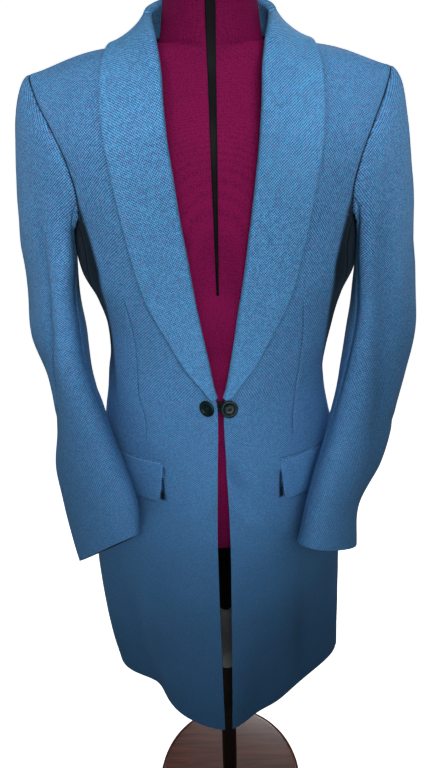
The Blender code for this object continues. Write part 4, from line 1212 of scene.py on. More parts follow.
def front_grid(side):
    """The front's points, and how far each lies from its dart."""
    shares = stations(58, NEAR, DART_COLUMN)
    corner = float(armhole_place(FRONT_CORNER)[1])
    heights = lower_heights(corner)[:-1]
    inner = turn_at(read_table(FRONT_EDGE, 1, heights), heights)
    outer = read_table(SIDE_SEAMS, 1, heights)

    def warped(inner, outer, height):
        dart = turn_at(read_table(DARTS[side], 1, height), clamp(height, 1.0, corner))
        share = clamp((dart - inner) / (outer - inner), 0.3, 0.75)[:, None]
        low = shares * share / DART_COLUMN
        high = share + (shares - DART_COLUMN) * (1 - share) / (1 - DART_COLUMN)
        return np.where(shares < DART_COLUMN, low, high)

    lower_shares = warped(inner, outer, heights)
    turn = mix(inner[:, None], outer[:, None], lower_shares)
    lower = coat_point(side, turn, row_height(turn, heights[:, None]))
    angles = upper_angles()
    top = float(shoulder_height(NECK_POINT))
    neck = FRONT_NECK + ((7, top - 0.0017), (2.2, top - 0.0004), (0, top))
    neck_height = read_table(neck, 1, angles)
    last_height, last_across = FRONT_EDGE[-1]
    rise = clamp((neck_height - last_height) / (top - last_height))
    neck_across = np.where(
        neck_height > last_height,
        mix(last_across, NECK_POINT, rise),
        read_table(FRONT_EDGE, 1, neck_height),
    )
    neck_turn = turn_at(neck_across, neck_height)
    arm_turn, arm_height = armhole_place(angles)
    upper = upper_rows(
        side, neck_turn, neck_height, arm_turn, arm_height, lower_shares[-1], 1 - angles / FRONT_CORNER
    )
    return np.concatenate([lower, upper]), shares


def dart_shape(side, points, shares):
    """Push and painted shade of the sewn dart, a fine closed line with the cloth puffed beside it."""
    column = int(np.argmin(abs(shares - DART_COLUMN)))
    run = run_along(points, 1)
    gap = abs(run - run[:, column : column + 1])
    height = points[..., 2]
    low, high = DARTS[side][0][0], DARTS[side][-1][0]
    fade = smooth_step((height - low) / DART_FADE) * smooth_step((high - height) / DART_FADE)
    push = (groove(gap, *DART_PRESS) + 0.0005 * np.exp(-(((gap - 0.006) / 0.004) ** 2))) * fade
    return push, clamp(1 - gap / DART_LINE) * fade, column


def edge_runs(points):
    """Distances of each point of a grid from its first and last column and its last row."""
    round_run = run_along(points, 1)
    up_run = run_along(points, 0)
    return round_run, round_run[:, -1:] - round_run, up_run[-1:] - up_run


def hollow_shade(points):
    """Painted shade where the body lies close behind the sleeve: a wedge that opens down the armhole."""
    height = points[..., 2]
    edge = np.maximum(HOLLOW_ACROSS - HOLLOW_WIDENING * clamp(HOLLOW_TOP - height, 0, 1), HOLLOW_INNER)
    outside = smooth_step((abs(points[..., 0]) - edge) / 0.006)
    behind = outside * smooth_step((points[..., 1] - HOLLOW_FRONT) / 0.012)
    level = smooth_step((HOLLOW_TOP - height) / 0.012) * smooth_step((height - HOLLOW_LOW) / 0.10)
    return FULL_SHADE * behind * level


# A dark line along each seam: partly painted shade in its groove, partly its stitching
def seam_shade(*distances):
    return np.max([clamp(1 - distance / SEAM_LINE) for distance in distances], axis=0)


def seam_pull(*distances):
    return np.sum([groove(distance, *SEAM_PRESS) for distance in distances], axis=0)


def flap_shade(side, points):
    """Painted shade on the front in the narrow wedge that a flap's lifted corner leaves open."""
    down = np.linspace(0.15, 1.0, 8)
    turn, height = pocket_place(0.0, FLAP_DROP * down)
    line = coat_point(side, turn - 0.3, height)
    best = np.zeros(points.shape[:2])
    for start, end, share in zip(line, line[1:], down):
        along, gap = straight_gap(points, start, end)
        near = FULL_SHADE * clamp((0.0006 + 0.0036 * share**1.4 - gap) / 0.0012 + 0.5)
        best = np.maximum(best, np.where((along > -0.2) & (along < 1.2), near, 0))
    return best


def under_flap_shade(side, points):
    """A thin painted shadow on the front just under a flap's lower edge."""
    share = np.linspace(0.10, 1.0, 40)
    turn, height = pocket_place(share, FLAP_DROP + FLAP_SHADOW_DROP)
    line = coat_point(side, turn, height)
    places = line[:, 0] * side
    order = np.argsort(places)
    across = points[..., 0] * side
    edge = np.interp(across, places[order], line[order, 2])
    inside = (across > places.min()) & (across < places.max()) & (points[..., 1] < 0)
    return UNDER_FLAP_SHADE * clamp(1 - abs(points[..., 2] - edge) / FLAP_SHADOW) * inside


def collar_shade(side, points):
    """A soft painted shadow on the front beside the collar's outer edge."""
    edge = collar_grid(side, np.linspace(0, COLLAR_SHADOW_LENGTH, 60))[:, -1]
    gap = np.min([straight_gap(points, *ends)[1] for ends in zip(edge, edge[1:])], axis=0)
    return BESIDE_COLLAR_SHADE * clamp(1.1 - gap / COLLAR_SHADOW)


def build_front(side, word):
    points, shares = front_grid(side)
    inset_edge(points, column=-1)
    inset_edge(points, row=-1)
    _, from_seam, from_shoulder = edge_runs(points)
    push = seam_pull(from_seam, from_shoulder)
    push = push + ripple(points, "front", side, from_seam, from_shoulder)
    folds = creases(points, FRONT_CREASES[side], from_seam)
    dart_push, dart_shade, column = dart_shape(side, points, shares)
    shades = (seam_shade(from_seam, from_shoulder), dart_shade, flap_shade(side, points))
    shades = shades + (hollow_shade(points), under_flap_shade(side, points), collar_shade(side, points))
    # Seam and dart lines and painted shades, with painted shade and light on the creases
    shade = np.max(shades, axis=0) + painted_fold_shade_and_light(folds)
    push = push + folds + dart_push
    piece, points = add_cloth(
        f"front_{word}", points, side < 0, push, shade, CLOTH_WALL, coat_wool(), "coat_wool"
    )
    line = points[:, column]
    low, high = DARTS[side][0][0], DARTS[side][-1][0]
    line = line[(line[:, 2] > low + 0.004) & (line[:, 2] < high - 0.004)]
    stitches = run_tree(
        f"dart_stitches_{word}",
        [line],
        stitch_tree(),
        {"Pitch": 0.0042, "Length": 0.0026, "Thickness": 0.0007},
        named_material("navy sewing thread, spun", thread, "#16283F"),
    )


def build_back(side, word):
    shares = stations(56, NEAR)
    corner = float(armhole_place(FRONT_CORNER)[1])
    heights = lower_heights(corner)[:-1]
    outer = read_table(SIDE_SEAMS, 2, heights)
    turn = mix(180, outer[:, None], shares)
    lower = coat_point(side, turn, row_height(turn, heights[:, None]))
    angles = upper_angles()
    top = float(shoulder_height(NECK_POINT))
    edge = BACK_NECK_EDGE + (
        (7, NECK_POINT - 0.0040, top - 0.0017),
        (2.2, NECK_POINT - 0.0006, top - 0.0004),
        (0, NECK_POINT, top),
    )
    neck_across, neck_height = read_table(edge, 1, angles), read_table(edge, 2, angles)
    neck_turn = turn_at(neck_across, neck_height, True)
    arm_turn, arm_height = armhole_place(360 - angles)
    upper = upper_rows(
        side, neck_turn, neck_height, arm_turn, arm_height, shares[None], 1 - angles / FRONT_CORNER
    )
    points = np.concatenate([lower, upper])
    centre = abs(points[:, 0, 0]) < 0.003
    points[centre, 0, 0] = side * CLOSED_SEAM
    inset_edge(points, column=-1)
    inset_edge(points, row=-1)
    from_centre, from_seam, from_shoulder = edge_runs(points)
    at_neck = (points[:, :1, 2] > BACK_NECK - 0.02) * 1.0
    from_centre = from_centre + at_neck
    seams = (from_centre, from_seam, from_shoulder)
    push = seam_pull(*seams) + ripple(points, "back", side, *seams)
    folds = creases(points, BACK_CREASES[side], *seams)
    push = push + folds
    # Seam lines, with painted shade in the creases' troughs and painted light on their ridges
    shade = seam_shade(*seams) + painted_fold_shade_and_light(folds)
    piece, _ = add_cloth(
        f"back_{word}", points, side > 0, push, shade, CLOTH_WALL, coat_wool(), "coat_wool"
    )


def build_side(side, word):
    angle_shares = stations(40, (0.006, 0.014, 0.026, 0.040))
    angles = mix(FRONT_CORNER, BACK_CORNER, angle_shares)
    front_turn_top, corner_height = (float(value) for value in armhole_place(FRONT_CORNER))
    back_turn_top = float(armhole_place(BACK_CORNER)[0])
    heights = lower_heights(corner_height)[:, None]
    bend = ((heights - HEM_FRONT) / (corner_height - HEM_FRONT)) ** SIDE_CURVE
    front_turn = read_table(SIDE_SEAMS, 1, heights)
    back_turn = read_table(SIDE_SEAMS, 2, heights)
    front_turn[-1] = front_turn_top
    back_turn[-1] = back_turn_top
    loop_turn, loop_height = armhole_place(angles)
    even_turn = mix(front_turn_top, back_turn_top, angle_shares)
    turn = mix(front_turn, back_turn, angle_shares) + bend * (loop_turn - even_turn)
    lowered = heights + bend * (loop_height - corner_height)
    points = coat_point(side, turn, row_height(turn, lowered))
    inset_edge(points, column=0)
    inset_edge(points, column=-1)
    inset_edge(points, row=-1)
    from_front, from_back, from_arm = edge_runs(points)
    seams = (from_front, from_back, from_arm)
    push = seam_pull(*seams) + ripple(points, "side", side, *seams)
    shade = np.maximum(seam_shade(*seams), hollow_shade(points))
    piece, _ = add_cloth(
        f"side_{word}", points, side < 0, push, shade, CLOTH_WALL, coat_wool(), "coat_wool"
    )


# Sleeves


def sleeve_sections(side):
    """Centre, outward axis, front axis and direction of each section below the sleeve head."""
    table = SLEEVE_LEFT if side > 0 else SLEEVE_RIGHT
    centres = np.array([(side * row[1], row[2], row[0]) for row in table])
    sections = []
    for n, row in enumerate(table):
        before = centres[max(n - 1, 0)]
        after = centres[min(n + 1, len(centres) - 1)]
        axis = unit(after - before)
        front = np.array((0.0, -1.0, 0.0))
        front = unit(front - axis * (front @ axis))
        outward = np.cross(axis, front) * side
        if outward[0] * side < 0:
            outward = -outward
        turned = math.radians(row[5])
        long_axis = front * math.cos(turned) - outward * math.sin(turned)
        short_axis = outward * math.cos(turned) + front * math.sin(turned)
        if n == len(table) - 1:
            tilt = math.radians(CUFF_TILT[side])
            long_axis = long_axis * math.cos(tilt) - axis * math.sin(tilt)
        sections.append(np.stack([centres[n], short_axis * row[4], long_axis * row[3], axis]))
    return np.array(sections)


def section_between(sections, place):
    """A section at a place between the table's, on a smooth curve through them."""
    last = len(sections) - 1
    place = clamp(np.asarray(place, float), 0, last)
    i = clamp(np.floor(place), 0, last - 1).astype(int)
    u = (place - i)[:, None, None]
    p0 = sections[clamp(i - 1, 0, last).astype(int)]
    p1, p2 = sections[i], sections[i + 1]
    p3 = sections[clamp(i + 2, 0, last).astype(int)]
    m1 = (p2 - p0) / np.where(i > 0, 2, 1)[:, None, None]
    m2 = (p3 - p1) / np.where(i < last - 1, 2, 1)[:, None, None]
    return curve_between(p1, m1, p2, m2, u)


def section_points(sections, angles):
    angles = np.radians(angles)[None, :, None]
    centre, short_axis, long_axis = (sections[:, None, n] for n in range(3))
    return centre + short_axis * np.cos(angles) + long_axis * np.sin(angles)


def head_points(side, angles, shares, first):
    """Points of the sleeve head, between the armhole and the first section."""
    turn, height = armhole_place(np.mod(angles, 360))
    start = coat_point(side, turn, height)
    end = section_points(first[None], angles)[0]
    length = np.linalg.norm(end - start, axis=-1, keepdims=True)
    spread = -np.sin(np.radians(angles)) * HEAD_SPREAD
    lean = np.stack([np.full_like(spread, side), spread, np.full_like(spread, -HEAD_DROP)], axis=-1)
    spring = lean * HEAD_SPRING[side] * length
    start = start + unit(spring) * SLEEVE_HEAD_GAP
    fall = first[3] * length * HEAD_FALL
    head = curve_between(start, spring, end, fall, shares[:, None, None])
    low = start - coat_normal(side, turn, height) * SEAM_ALLOWANCE_DROP
    allowance = np.stack([low - unit(spring) * SEAM_ALLOWANCE, low])
    return np.concatenate([allowance, head])


def sleeve_place(side, sections, angle, place):
    """A place on the sleeve: before 0 on its head, after it on the sections."""
    if place < 0:
        return head_points(side, np.array([angle]), np.array([1.0 + place]), sections[0])[-1, 0]
    return section_points(section_between(sections, np.array([place])), np.array([angle]))[0, 0]


def sleeve_creases(side, sections):
    paths = []
    for breadth, rows in SLEEVE_CREASES[side]:
        path = [
            (*sleeve_place(side, sections, angle, place), SLEEVE_CREASE_SCALE * push)
            for angle, place, push in rows
        ]
        paths.append((breadth, path))
    return paths


def sleeve_weave(head, body, sections, places):
    """The weave's two distances on a sleeve: level round its head, square to the arm below."""
    middle = head.shape[1] // 2
    falling = np.concatenate([head[2:], body[:6]])
    levels = np.linspace(falling[..., 2].min(), falling[..., 2].max(), 160)
    rising = falling[::-1]
    ring = np.stack(
        [
            [np.interp(levels, rising[:, n, 2], rising[:, n, axis]) for n in range(head.shape[1])]
            for axis in (0, 1)
        ],
        axis=-1,
    )
    level_run = run_along(ring, 0)
    level_run = level_run - level_run[middle]
    head_across = np.stack(
        [np.interp(head[:, n, 2], levels, level_run[n]) for n in range(head.shape[1])], axis=1
    )
    body_run = run_along(body, 1)
    body_run = body_run - body_run[:, middle : middle + 1]
    centres = section_between(sections, places)[:, 0]
    down = run_along(centres[:, None], 0) + 0 * body_run
    return (
        np.concatenate([head_across, body_run]),
        np.concatenate([body[0, :, 2] - head[..., 2], down]),
    )


def build_sleeve(side, top, word):
    if top:
        start, end = HIND_SLEEVE_SEAM - 360, FRONT_SLEEVE_SEAM
        name, count = f"sleeve_top_{word}", 84
    else:
        start, end = FRONT_SLEEVE_SEAM, HIND_SLEEVE_SEAM
        name, count = f"sleeve_under_{word}", 50
    near = np.array((0.9, 1.8, 3.0)) / (end - start)
    angles = mix(start, end, stations(count, near))
    sections = sleeve_sections(side)
    places = np.concatenate([np.linspace(0, 7, 92)[:-1], [6.955, 6.98, 7.0]])
    head = head_points(side, angles, HEAD_SHARES, sections[0])
    body = section_points(section_between(sections, places), angles)
    points = np.concatenate([head, body])
    inset_edge(points, column=0)
    inset_edge(points, column=-1)
    from_hind, from_front, _ = edge_runs(points)
    from_arm = run_along(points, 0)
    from_arm = np.maximum(from_arm - from_arm[2], 0)
    push = seam_pull(from_hind, from_front) + groove(from_arm, *ARM_PRESS)
    push[:2] = 0
    push = push + ripple(points, "sleeve", side, from_hind, from_front, from_arm)
    folds = creases(points, sleeve_creases(side, sections), from_hind, from_front, from_arm)
    push = push + folds
    seams = (seam_shade(from_hind, from_arm), FRONT_SEAM_SHARE * seam_shade(from_front))
    # Seam lines, with painted shade in the creases' troughs and painted light on their ridges
    shade = np.maximum(*seams) + painted_fold_shade_and_light(folds)
    weave = sleeve_weave(head, body, sections, places)
    # Painted shade: the seam allowance and the head's first row are painted nearly black at the armhole seam
    shade[:3] = ARMHOLE_SHADE
    thin = np.ones(points.shape[:2])
    thin[:6] = np.array((0.05, 0.05, 0.05, 0.2, 0.5, 0.8))[:, None]
    wool = coat_wool()
    piece, _ = add_cloth(name, points, side < 0, push, shade, SLEEVE_WALL, wool, "coat_wool", weave, thin)


# Shawl collar


def lap_of(across, height, behind):
    """How far round the shoulder a place lies: -1 to 1 over the rounding, more below it."""
    drop = 0.0 if height is None else float(shoulder_height(across) - height)
    if drop <= SHOULDER_ROUND:
        lap = math.acos(1 - min(max(drop / SHOULDER_ROUND, 0), 1)) / (math.pi / 2)
    else:
        lap = 1 + (drop - SHOULDER_ROUND) / SHOULDER_ROUND
    return lap if behind else -lap


def lap_place(across, lap):
    """Turn and height on the coat for a distance across and a lap."""
    size = abs(lap)
    drop = SHOULDER_ROUND * np.where(size <= 1, 1 - np.cos(size * math.pi / 2), size)
    height = shoulder_height(across) - drop
    return turn_at(across, height, lap > 0), height


def collar_table():
    """The collar's rows as smooth columns, keyed by their place along the neck."""
    rows = []
    length = 0.0
    last = None
    for behind, across, height, edge_across, edge_height, stand, upright in COLLAR:
        lap = lap_of(across, height, behind)
        place = coat_point(1, *lap_place(np.float64(across), np.float64(lap)))
        if last is not None:
            length += float(np.linalg.norm(place - last))
        last = place
        edge_lap = lap_of(edge_across, edge_height, behind)
        rows.append((length, across, lap, edge_across, edge_lap, stand, upright))
    return rows


def surface_at(side, across, lap, lift=0.0):
    turn, height = lap_place(across, lap)
    point = coat_point(side, turn, height)
    height = np.where(abs(lap) < SEAM_LAP, height - SEAM_ROW_DROP, height)
    return point + coat_normal(side, turn, height) * lift


def collar_grid(side, places):
    """Points across the collar: inner leg, roll, then the fall down to its outer edge."""
    rows = collar_table()
    length = rows[-1][0]
    across, lap, edge_across, edge_lap, stand, upright = (
        read_table(rows, column, places) for column in range(1, 7)
    )
    neck = surface_at(side, across, lap)
    edge = surface_at(side, edge_across, edge_lap)
    before, after = (
        surface_at(side, *(read_table(rows, column, clamp(spot, 0, length)) for column in (1, 2)))
        for spot in (places - COLLAR_PROBE, places + COLLAR_PROBE)
    )
    along = unit(after - before)
    along[places > length - COLLAR_PROBE] = (-side, 0, 0)
    inward = unit(neck - edge)
    steep = upright[:, None]
    up = unit(inward * (1 - steep) + np.array((0, 0, 1.0)) * steep)
    up = unit(up - along * np.sum(up * along, axis=-1, keepdims=True))
    out = np.cross(along, up) * side
    middle = (COLLAR_LIFT - COLLAR_TUCK) / 2
    radius = (COLLAR_LIFT + COLLAR_TUCK) / 2
    leg = mix(COLLAR_LEG, COLLAR_LEG_UPRIGHT, smooth_step(2 * upright))
    stand = stand[:, None]
    columns = []
    for share in np.linspace(0, 1, 7)[:-1]:
        columns.append(neck + up * mix(-leg[:, None], stand, share) - out * COLLAR_TUCK)
    for degrees in np.arange(-90, 90, 15):
        angle = math.radians(degrees)
        columns.append(
            neck + up * (stand + radius * math.cos(angle)) + out * (middle + radius * math.sin(angle))
        )
    top = neck + up * stand + out * COLLAR_LIFT
    foot = surface_at(side, across, lap, COLLAR_LIFT)
    for share in np.concatenate([np.linspace(0, 0.96, 26), [0.975, 0.988, 1.0]]):
        on_panel = surface_at(
            side, mix(across, edge_across, share), mix(lap, edge_lap, share), COLLAR_LIFT
        )
        columns.append(on_panel + (top - foot) * (1 - share) ** FALL_CURVE)
    return np.stack(columns, axis=1)


def build_collar(side, word):
    length = collar_table()[-1][0]
    places = np.linspace(0, length, 150)
    points = collar_grid(side, places)
    strip = points[-1].copy()
    strip[:, 0] = side * 0.0030
    points[-1, :, 0] = side * CLOSED_SEAM
    points = np.concatenate([points[:-1], strip[None], points[-1:]])
    _, from_edge, from_centre = edge_runs(points)
    push = groove(from_edge, *COLLAR_PRESS) + groove(from_centre, *SEAM_PRESS)
    push = push + ripple(points, "collar", side, from_edge, from_centre)
    low_part = smooth_step((points[..., 2] - 1.16) / 0.03) * smooth_step((1.36 - points[..., 2]) / 0.05)
    outer_part = smooth_step(1.2 - from_edge / 0.022)
    push = push + ripple(points, "collar edge", side, from_centre) * low_part * outer_part
    # Painted shade: a dark line along the collar's outer edge, beside the centre seam's line
    shade = np.maximum(seam_shade(from_centre), COLLAR_EDGE_SHADE * clamp(1 - from_edge / 0.0020))
    piece, _ = add_cloth(
        f"shawl_collar_{word}", points, side < 0, push, shade, COLLAR_WALL, collar_wool(), "collar_wool"
    )


# Pockets


def pocket_place(share, down):
    turn = mix(POCKET_FRONT_TURN, POCKET_BACK_TURN, share)
    return turn, mix(POCKET_FRONT_TOP, POCKET_BACK_TOP, share) - down


def panel_point(side, turn, height, lift):
    return coat_point(side, turn, height) + coat_normal(side, turn, height) * np.asarray(lift)[..., None]


def build_flap(side, word):
    share = np.concatenate([[0, 0.006, 0.014, 0.025, 0.04], np.linspace(0.06, 0.975, 42), [0.985, 0.993, 1]])
    down = np.concatenate([[1, 0.985, 0.965, 0.94], np.linspace(0.9, 0.0, 20)])[:, None]
    corner = clamp(1 - share / FLAP_CORNER)
    drop = FLAP_DROP * (1 - FLAP_ROUND * (1 - np.sqrt(1 - corner**2)))
    turn, height = pocket_place(share, drop * down)
    lift = ON_PANEL + FLAP_WALL + FLAP_FLARE * down**FLAP_CURVE
    lift = lift + FLAP_CORNER_LIFT * clamp(1 - share / 0.30) ** 2 * down**1.3
    points = panel_point(side, turn, height, lift)
    from_front, from_back, _ = edge_runs(points)
    from_low = run_along(points, 0)
    push = sum(groove(gap, *FLAP_PRESS) for gap in (from_front, from_back, from_low))
    push = push + ripple(points, "flap", side, run_along(points[::-1], 0)[::-1])
    from_edge = np.minimum(np.minimum(from_front, from_back), from_low)
    # Painted light: the flap's face is painted lighter, and more so along its edges
    shade = FLAP_PAINTED_LIGHT + FLAP_EDGE_PAINTED_LIGHT * clamp(1 - from_edge / 0.0022)
    piece, _ = add_cloth(
        f"pocket_flap_{word}", points, side < 0, push, shade, FLAP_WALL, coat_wool(), "coat_wool"
    )


def build_jet(side, word):
    """The narrow piping over the flap, folded round so that its face is half round."""
    share = np.linspace(0, 1, 60)
    rise = np.linspace(SEAM_GAP, SEAM_GAP + JET_HEIGHT, 9)[:, None]
    turn, height = pocket_place(share, -rise)
    bulge = np.sin(np.linspace(0, math.pi, 9))[:, None] * 0.0008
    points = panel_point(side, turn, height, ON_PANEL + JET_WALL + bulge + 0 * share)
    shade = np.zeros(points.shape[:2])
    # Painted shade along the jet's two long edges, in the seams beside it
    shade[[0, -1]] = JET_SHADE
    push = np.zeros(points.shape[:2])
    piece, points = add_cloth(
        f"pocket_jet_{word}", points, side < 0, push, shade, JET_WALL, coat_wool(), "coat_wool"
    )
    stitches = run_tree(
        f"jet_stitches_{word}",
        [points[1, 2:-2] + np.array((0, -0.0002, 0))],
        stitch_tree(),
        {"Pitch": 0.0046, "Length": 0.0030, "Thickness": 0.0010},
        named_material("blue sewing thread, spun", thread, "#7FB2DC"),
    )
    return piece


# Buttons and link


def turned_mesh(name, profile, steps, place, normal):
    """A turned piece, its profile from the top down, set on a place with its axis along a
    normal; the profile starts and ends on the axis."""
    turn = Vector(normal).to_track_quat("Z", "Y").to_matrix()
    points = [Vector((0, 0, profile[0][1]))]
    for radius, height in profile[1:-1]:
        for n in range(steps):
            angle = 2 * math.pi * n / steps
            points.append(Vector((radius * math.cos(angle), radius * math.sin(angle), height)))
    points.append(Vector((0, 0, profile[-1][1])))
    faces = []
    for n in range(steps):
        m = (n + 1) % steps
        faces.append((0, 1 + n, 1 + m))
        for ring in range(len(profile) - 3):
            first = 1 + ring * steps
            faces.append((first + n, first + steps + n, first + steps + m, first + m))
        first = 1 + (len(profile) - 3) * steps
        faces.append((first + n, len(points) - 1, first + m))
    mesh = bpy.data.meshes.new(name)
    mesh.from_pydata([Vector(place) + turn @ point for point in points], [], faces)
    mesh.shade_smooth()
    mesh.set_sharp_from_angle(angle=math.radians(55))
    return mesh


def button_profile(radius, foot):
    """A sew-through face with a thick rounded rim, a dished middle and a low boss."""
    return (
        (0.0, foot + 0.0021),
        (radius * 0.10, foot + 0.0020),
        (radius * 0.17, foot + 0.0014),
        (radius * 0.36, foot + 0.0013),
        (radius * 0.40, foot + 0.0015),
        (radius * 0.45, foot + 0.0014),
        (radius * 0.58, foot + 0.0018),
        (radius * 0.66, foot + 0.0027),
        (radius * 0.74, foot + 0.0033),
        (radius * 0.82, foot + 0.0034),
        (radius * 0.91, foot + 0.0032),
        (radius * 0.97, foot + 0.0027),
        (radius, foot + 0.0020),
        (radius * 0.985, foot + 0.0012),
        (radius * 0.94, foot + 0.0004),
        (radius * 0.88, foot),
        (SHANK_RADIUS, foot),
    )


def build_front_buttons():
    for side, word in SIDES:
        across, height, outwards, upwards = (np.float64(value) for value in FRONT_BUTTONS[word])
        turn = turn_at(across, height)
        point = Vector(coat_point(side, turn, height))
        off_cloth = Vector(coat_normal(side, turn, height))
        normal = off_cloth.copy()
        normal.rotate(Matrix.Rotation(side * math.radians(outwards), 3, "Z"))
        normal.rotate(Matrix.Rotation(-math.radians(upwards), 3, "X"))
        place = point + off_cloth * (BUTTON_GAP + SHANK_RADIUS * math.sin(off_cloth.angle(normal)))
        profile = button_profile(BUTTON_RADIUS, BUTTON_SHANK) + ((SHANK_RADIUS, 0.0), (0.0, 0.0))
        mesh = turned_mesh(f"horn_front_button_{word}", profile, 64, place, normal)
        finish = named_material(HORN, horn)
        add_piece(f"horn_front_button_{word}", mesh, (finish,), "dark_horn", f"front_button_{word}")


def build_cuff_buttons(side, word):
    sections = sleeve_sections(side)
    angle = CUFF_BUTTON_ANGLE
    for n, share in enumerate(CUFF_BUTTON_SHARES, 1):
        before, point, after = (
            mix(
                section_points(sections[-2:-1], np.array([angle + turn]))[0, 0],
                section_points(sections[-1:], np.array([angle + turn]))[0, 0],
                share,
            )
            for turn in (-4.0, 0.0, 4.0)
        )
        centre = mix(sections[-2][0], sections[-1][0], share)
        high, low = (section_points(sections[n][None], np.array([angle]))[0, 0] for n in (-2, -1))
        ahead = low - high
        normal = Vector(unit(np.cross(ahead, after - before)))
        if normal.dot(Vector(point - centre)) < 0:
            normal = -normal
        profile = button_profile(CUFF_BUTTON_RADIUS, 0.0)[:-1] + ((0.0, 0.0),)
        place = Vector(point) + normal * ON_CLOTH
        name = f"horn_cuff_button_{word}_{n}"
        mesh = turned_mesh(name, profile, 48, place, normal)
        add_piece(name, mesh, (named_material(HORN, horn),), "dark_horn", f"cuff_button_{word}_{n}")


def build_link():
    """Five narrow plaits side by side, joining the buttons behind the two front edges."""
    inside = LINK_CLEARANCE + CLOTH_WALL + LINK_WALL / 2
    paths = []
    for n in range(5):
        height = LINK_MIDDLE + LINK_HEIGHT * ((n + 0.5) / 5 - 0.5)
        share = np.linspace(-1, 1, 25)
        across = abs(share) * np.where(share > 0, FRONT_BUTTONS["left"][0], FRONT_BUTTONS["right"][0])
        left, right = (
            panel_point(side, turn_at(across, height), np.full_like(across, height), -inside + 0 * across)
            for side in (1, -1)
        )
        paths.append(np.where((share > 0)[:, None], left, right))
    piece = run_tree(
        "braid_link",
        paths,
        plait_tree(),
        {"Strands": 3, "Swing": 0.0010, "Lift": 0.0005, "Turns": 4.0, "Thickness": 0.0007},
        named_material("viscose braid, plaited", braid),
    )
    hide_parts("button_link")


# Dress form and stand


def form_rows():
    rows = list(FORM)
    for half_width, front, back, power in FORM_RIDGE:
        height = float(shoulder_height(half_width)) - CLOTH_WALL - FORM_CLEARANCE
        rows.append((height, half_width, front, back, power))
    return sorted(rows)


def form_point(angle, height):
    """The dress form's surface; the angle runs from the centre front round its left side."""
    rows = form_rows()
    width, front, back, power = (read_table(rows, column, height) for column in range(1, 5))
    angle = np.radians(angle)
    across = width * np.copysign(abs(np.sin(angle)) ** (2 / power), np.sin(angle))
    behind = np.cos(angle) < -1e-9
    along = np.where(behind, back, front) * abs(np.cos(angle)) ** (2 / power)
    return np.stack(np.broadcast_arrays(across, np.where(behind, along, -along), height), axis=-1)


def build_form():
    """The covered form, one smooth closed shell, in rows close enough to look round."""
    sides = 96
    keys = [row[0] for row in form_rows()]
    heights = []
    for low, high in zip(keys, keys[1:]):
        count = max(2, int((high - low) / 0.008))
        heights += list(np.linspace(low, high, count + 1)[:-1])
    heights = np.array(heights + [keys[-1]])[:, None]
    angles = np.arange(sides) * 360 / sides
    points = form_point(angles, heights)
    rows = len(points)
    index = np.arange(rows * sides).reshape(rows, sides)
    following = np.roll(index, -1, axis=1)
    faces = np.stack([index[:-1], following[:-1], following[1:], index[1:]], axis=-1).reshape(-1, 4)
    mesh = bpy.data.meshes.new("jersey_form_torso")
    all_faces = faces.tolist() + [list(reversed(index[0].tolist())), index[-1].tolist()]
    mesh.from_pydata(points.reshape(-1, 3).tolist(), [], all_faces)
    mesh.shade_smooth()
    mesh.set_sharp_from_angle(angle=math.radians(50))
    finish = named_material("cotton jersey, knitted", jersey)
    add_piece("jersey_form_torso", mesh, (finish,), "plum_jersey", "form_torso")


def build_slot():
    """The dark strip in the form's centre front slot, hollowed along its middle."""
    heights = np.linspace(SLOT_LOW, SLOT_TOP, 70)
    half = mix(SLOT_LOW_HALF, SLOT_TOP_HALF, (heights - SLOT_LOW) / (SLOT_TOP - SLOT_LOW))
    centre = form_point(0.0, heights)
    slope = form_point(0.0, heights + 0.002) - form_point(0.0, heights - 0.002)
    normal = unit(np.stack([0 * heights, -slope[:, 2], slope[:, 1]], axis=-1))
    shares = np.linspace(-1, 1, 9)
    hollow = 0.0006 * (1 - shares**2)
    points = (
        centre[:, None]
        + normal[:, None] * (SLOT_CLEARANCE + SLOT_WALL - hollow)[None, :, None]
        + (half[:, None] * shares)[..., None] * np.array((1.0, 0, 0))
    )
    mesh = grid_mesh("plastic_form_slot", points, False, np.zeros(points.shape[:2]))
    sizes = ("#050507", "#0D0D12", 60.0, 0.60, 0.10)
    finish = named_material("polypropylene, moulded, black", smooth_finish, *sizes)
    piece = add_piece("plastic_form_slot", mesh, (finish,), "black_slot", "form_slot")
    shell = piece.modifiers.new("wall", "SOLIDIFY")
    shell.thickness = SLOT_WALL * 0.5
    shell.offset = -1.0


def tube_profile(radius, low, high, edge=0.0012):
    return (
        (0.0, high),
        (radius - edge, high),
        (radius - edge * 0.3, high - edge * 0.3),
        (radius, high - edge),
        (radius, low + edge),
        (radius - edge * 0.3, low + edge * 0.3),
        (radius - edge, low),
        (0.0, low),
    )


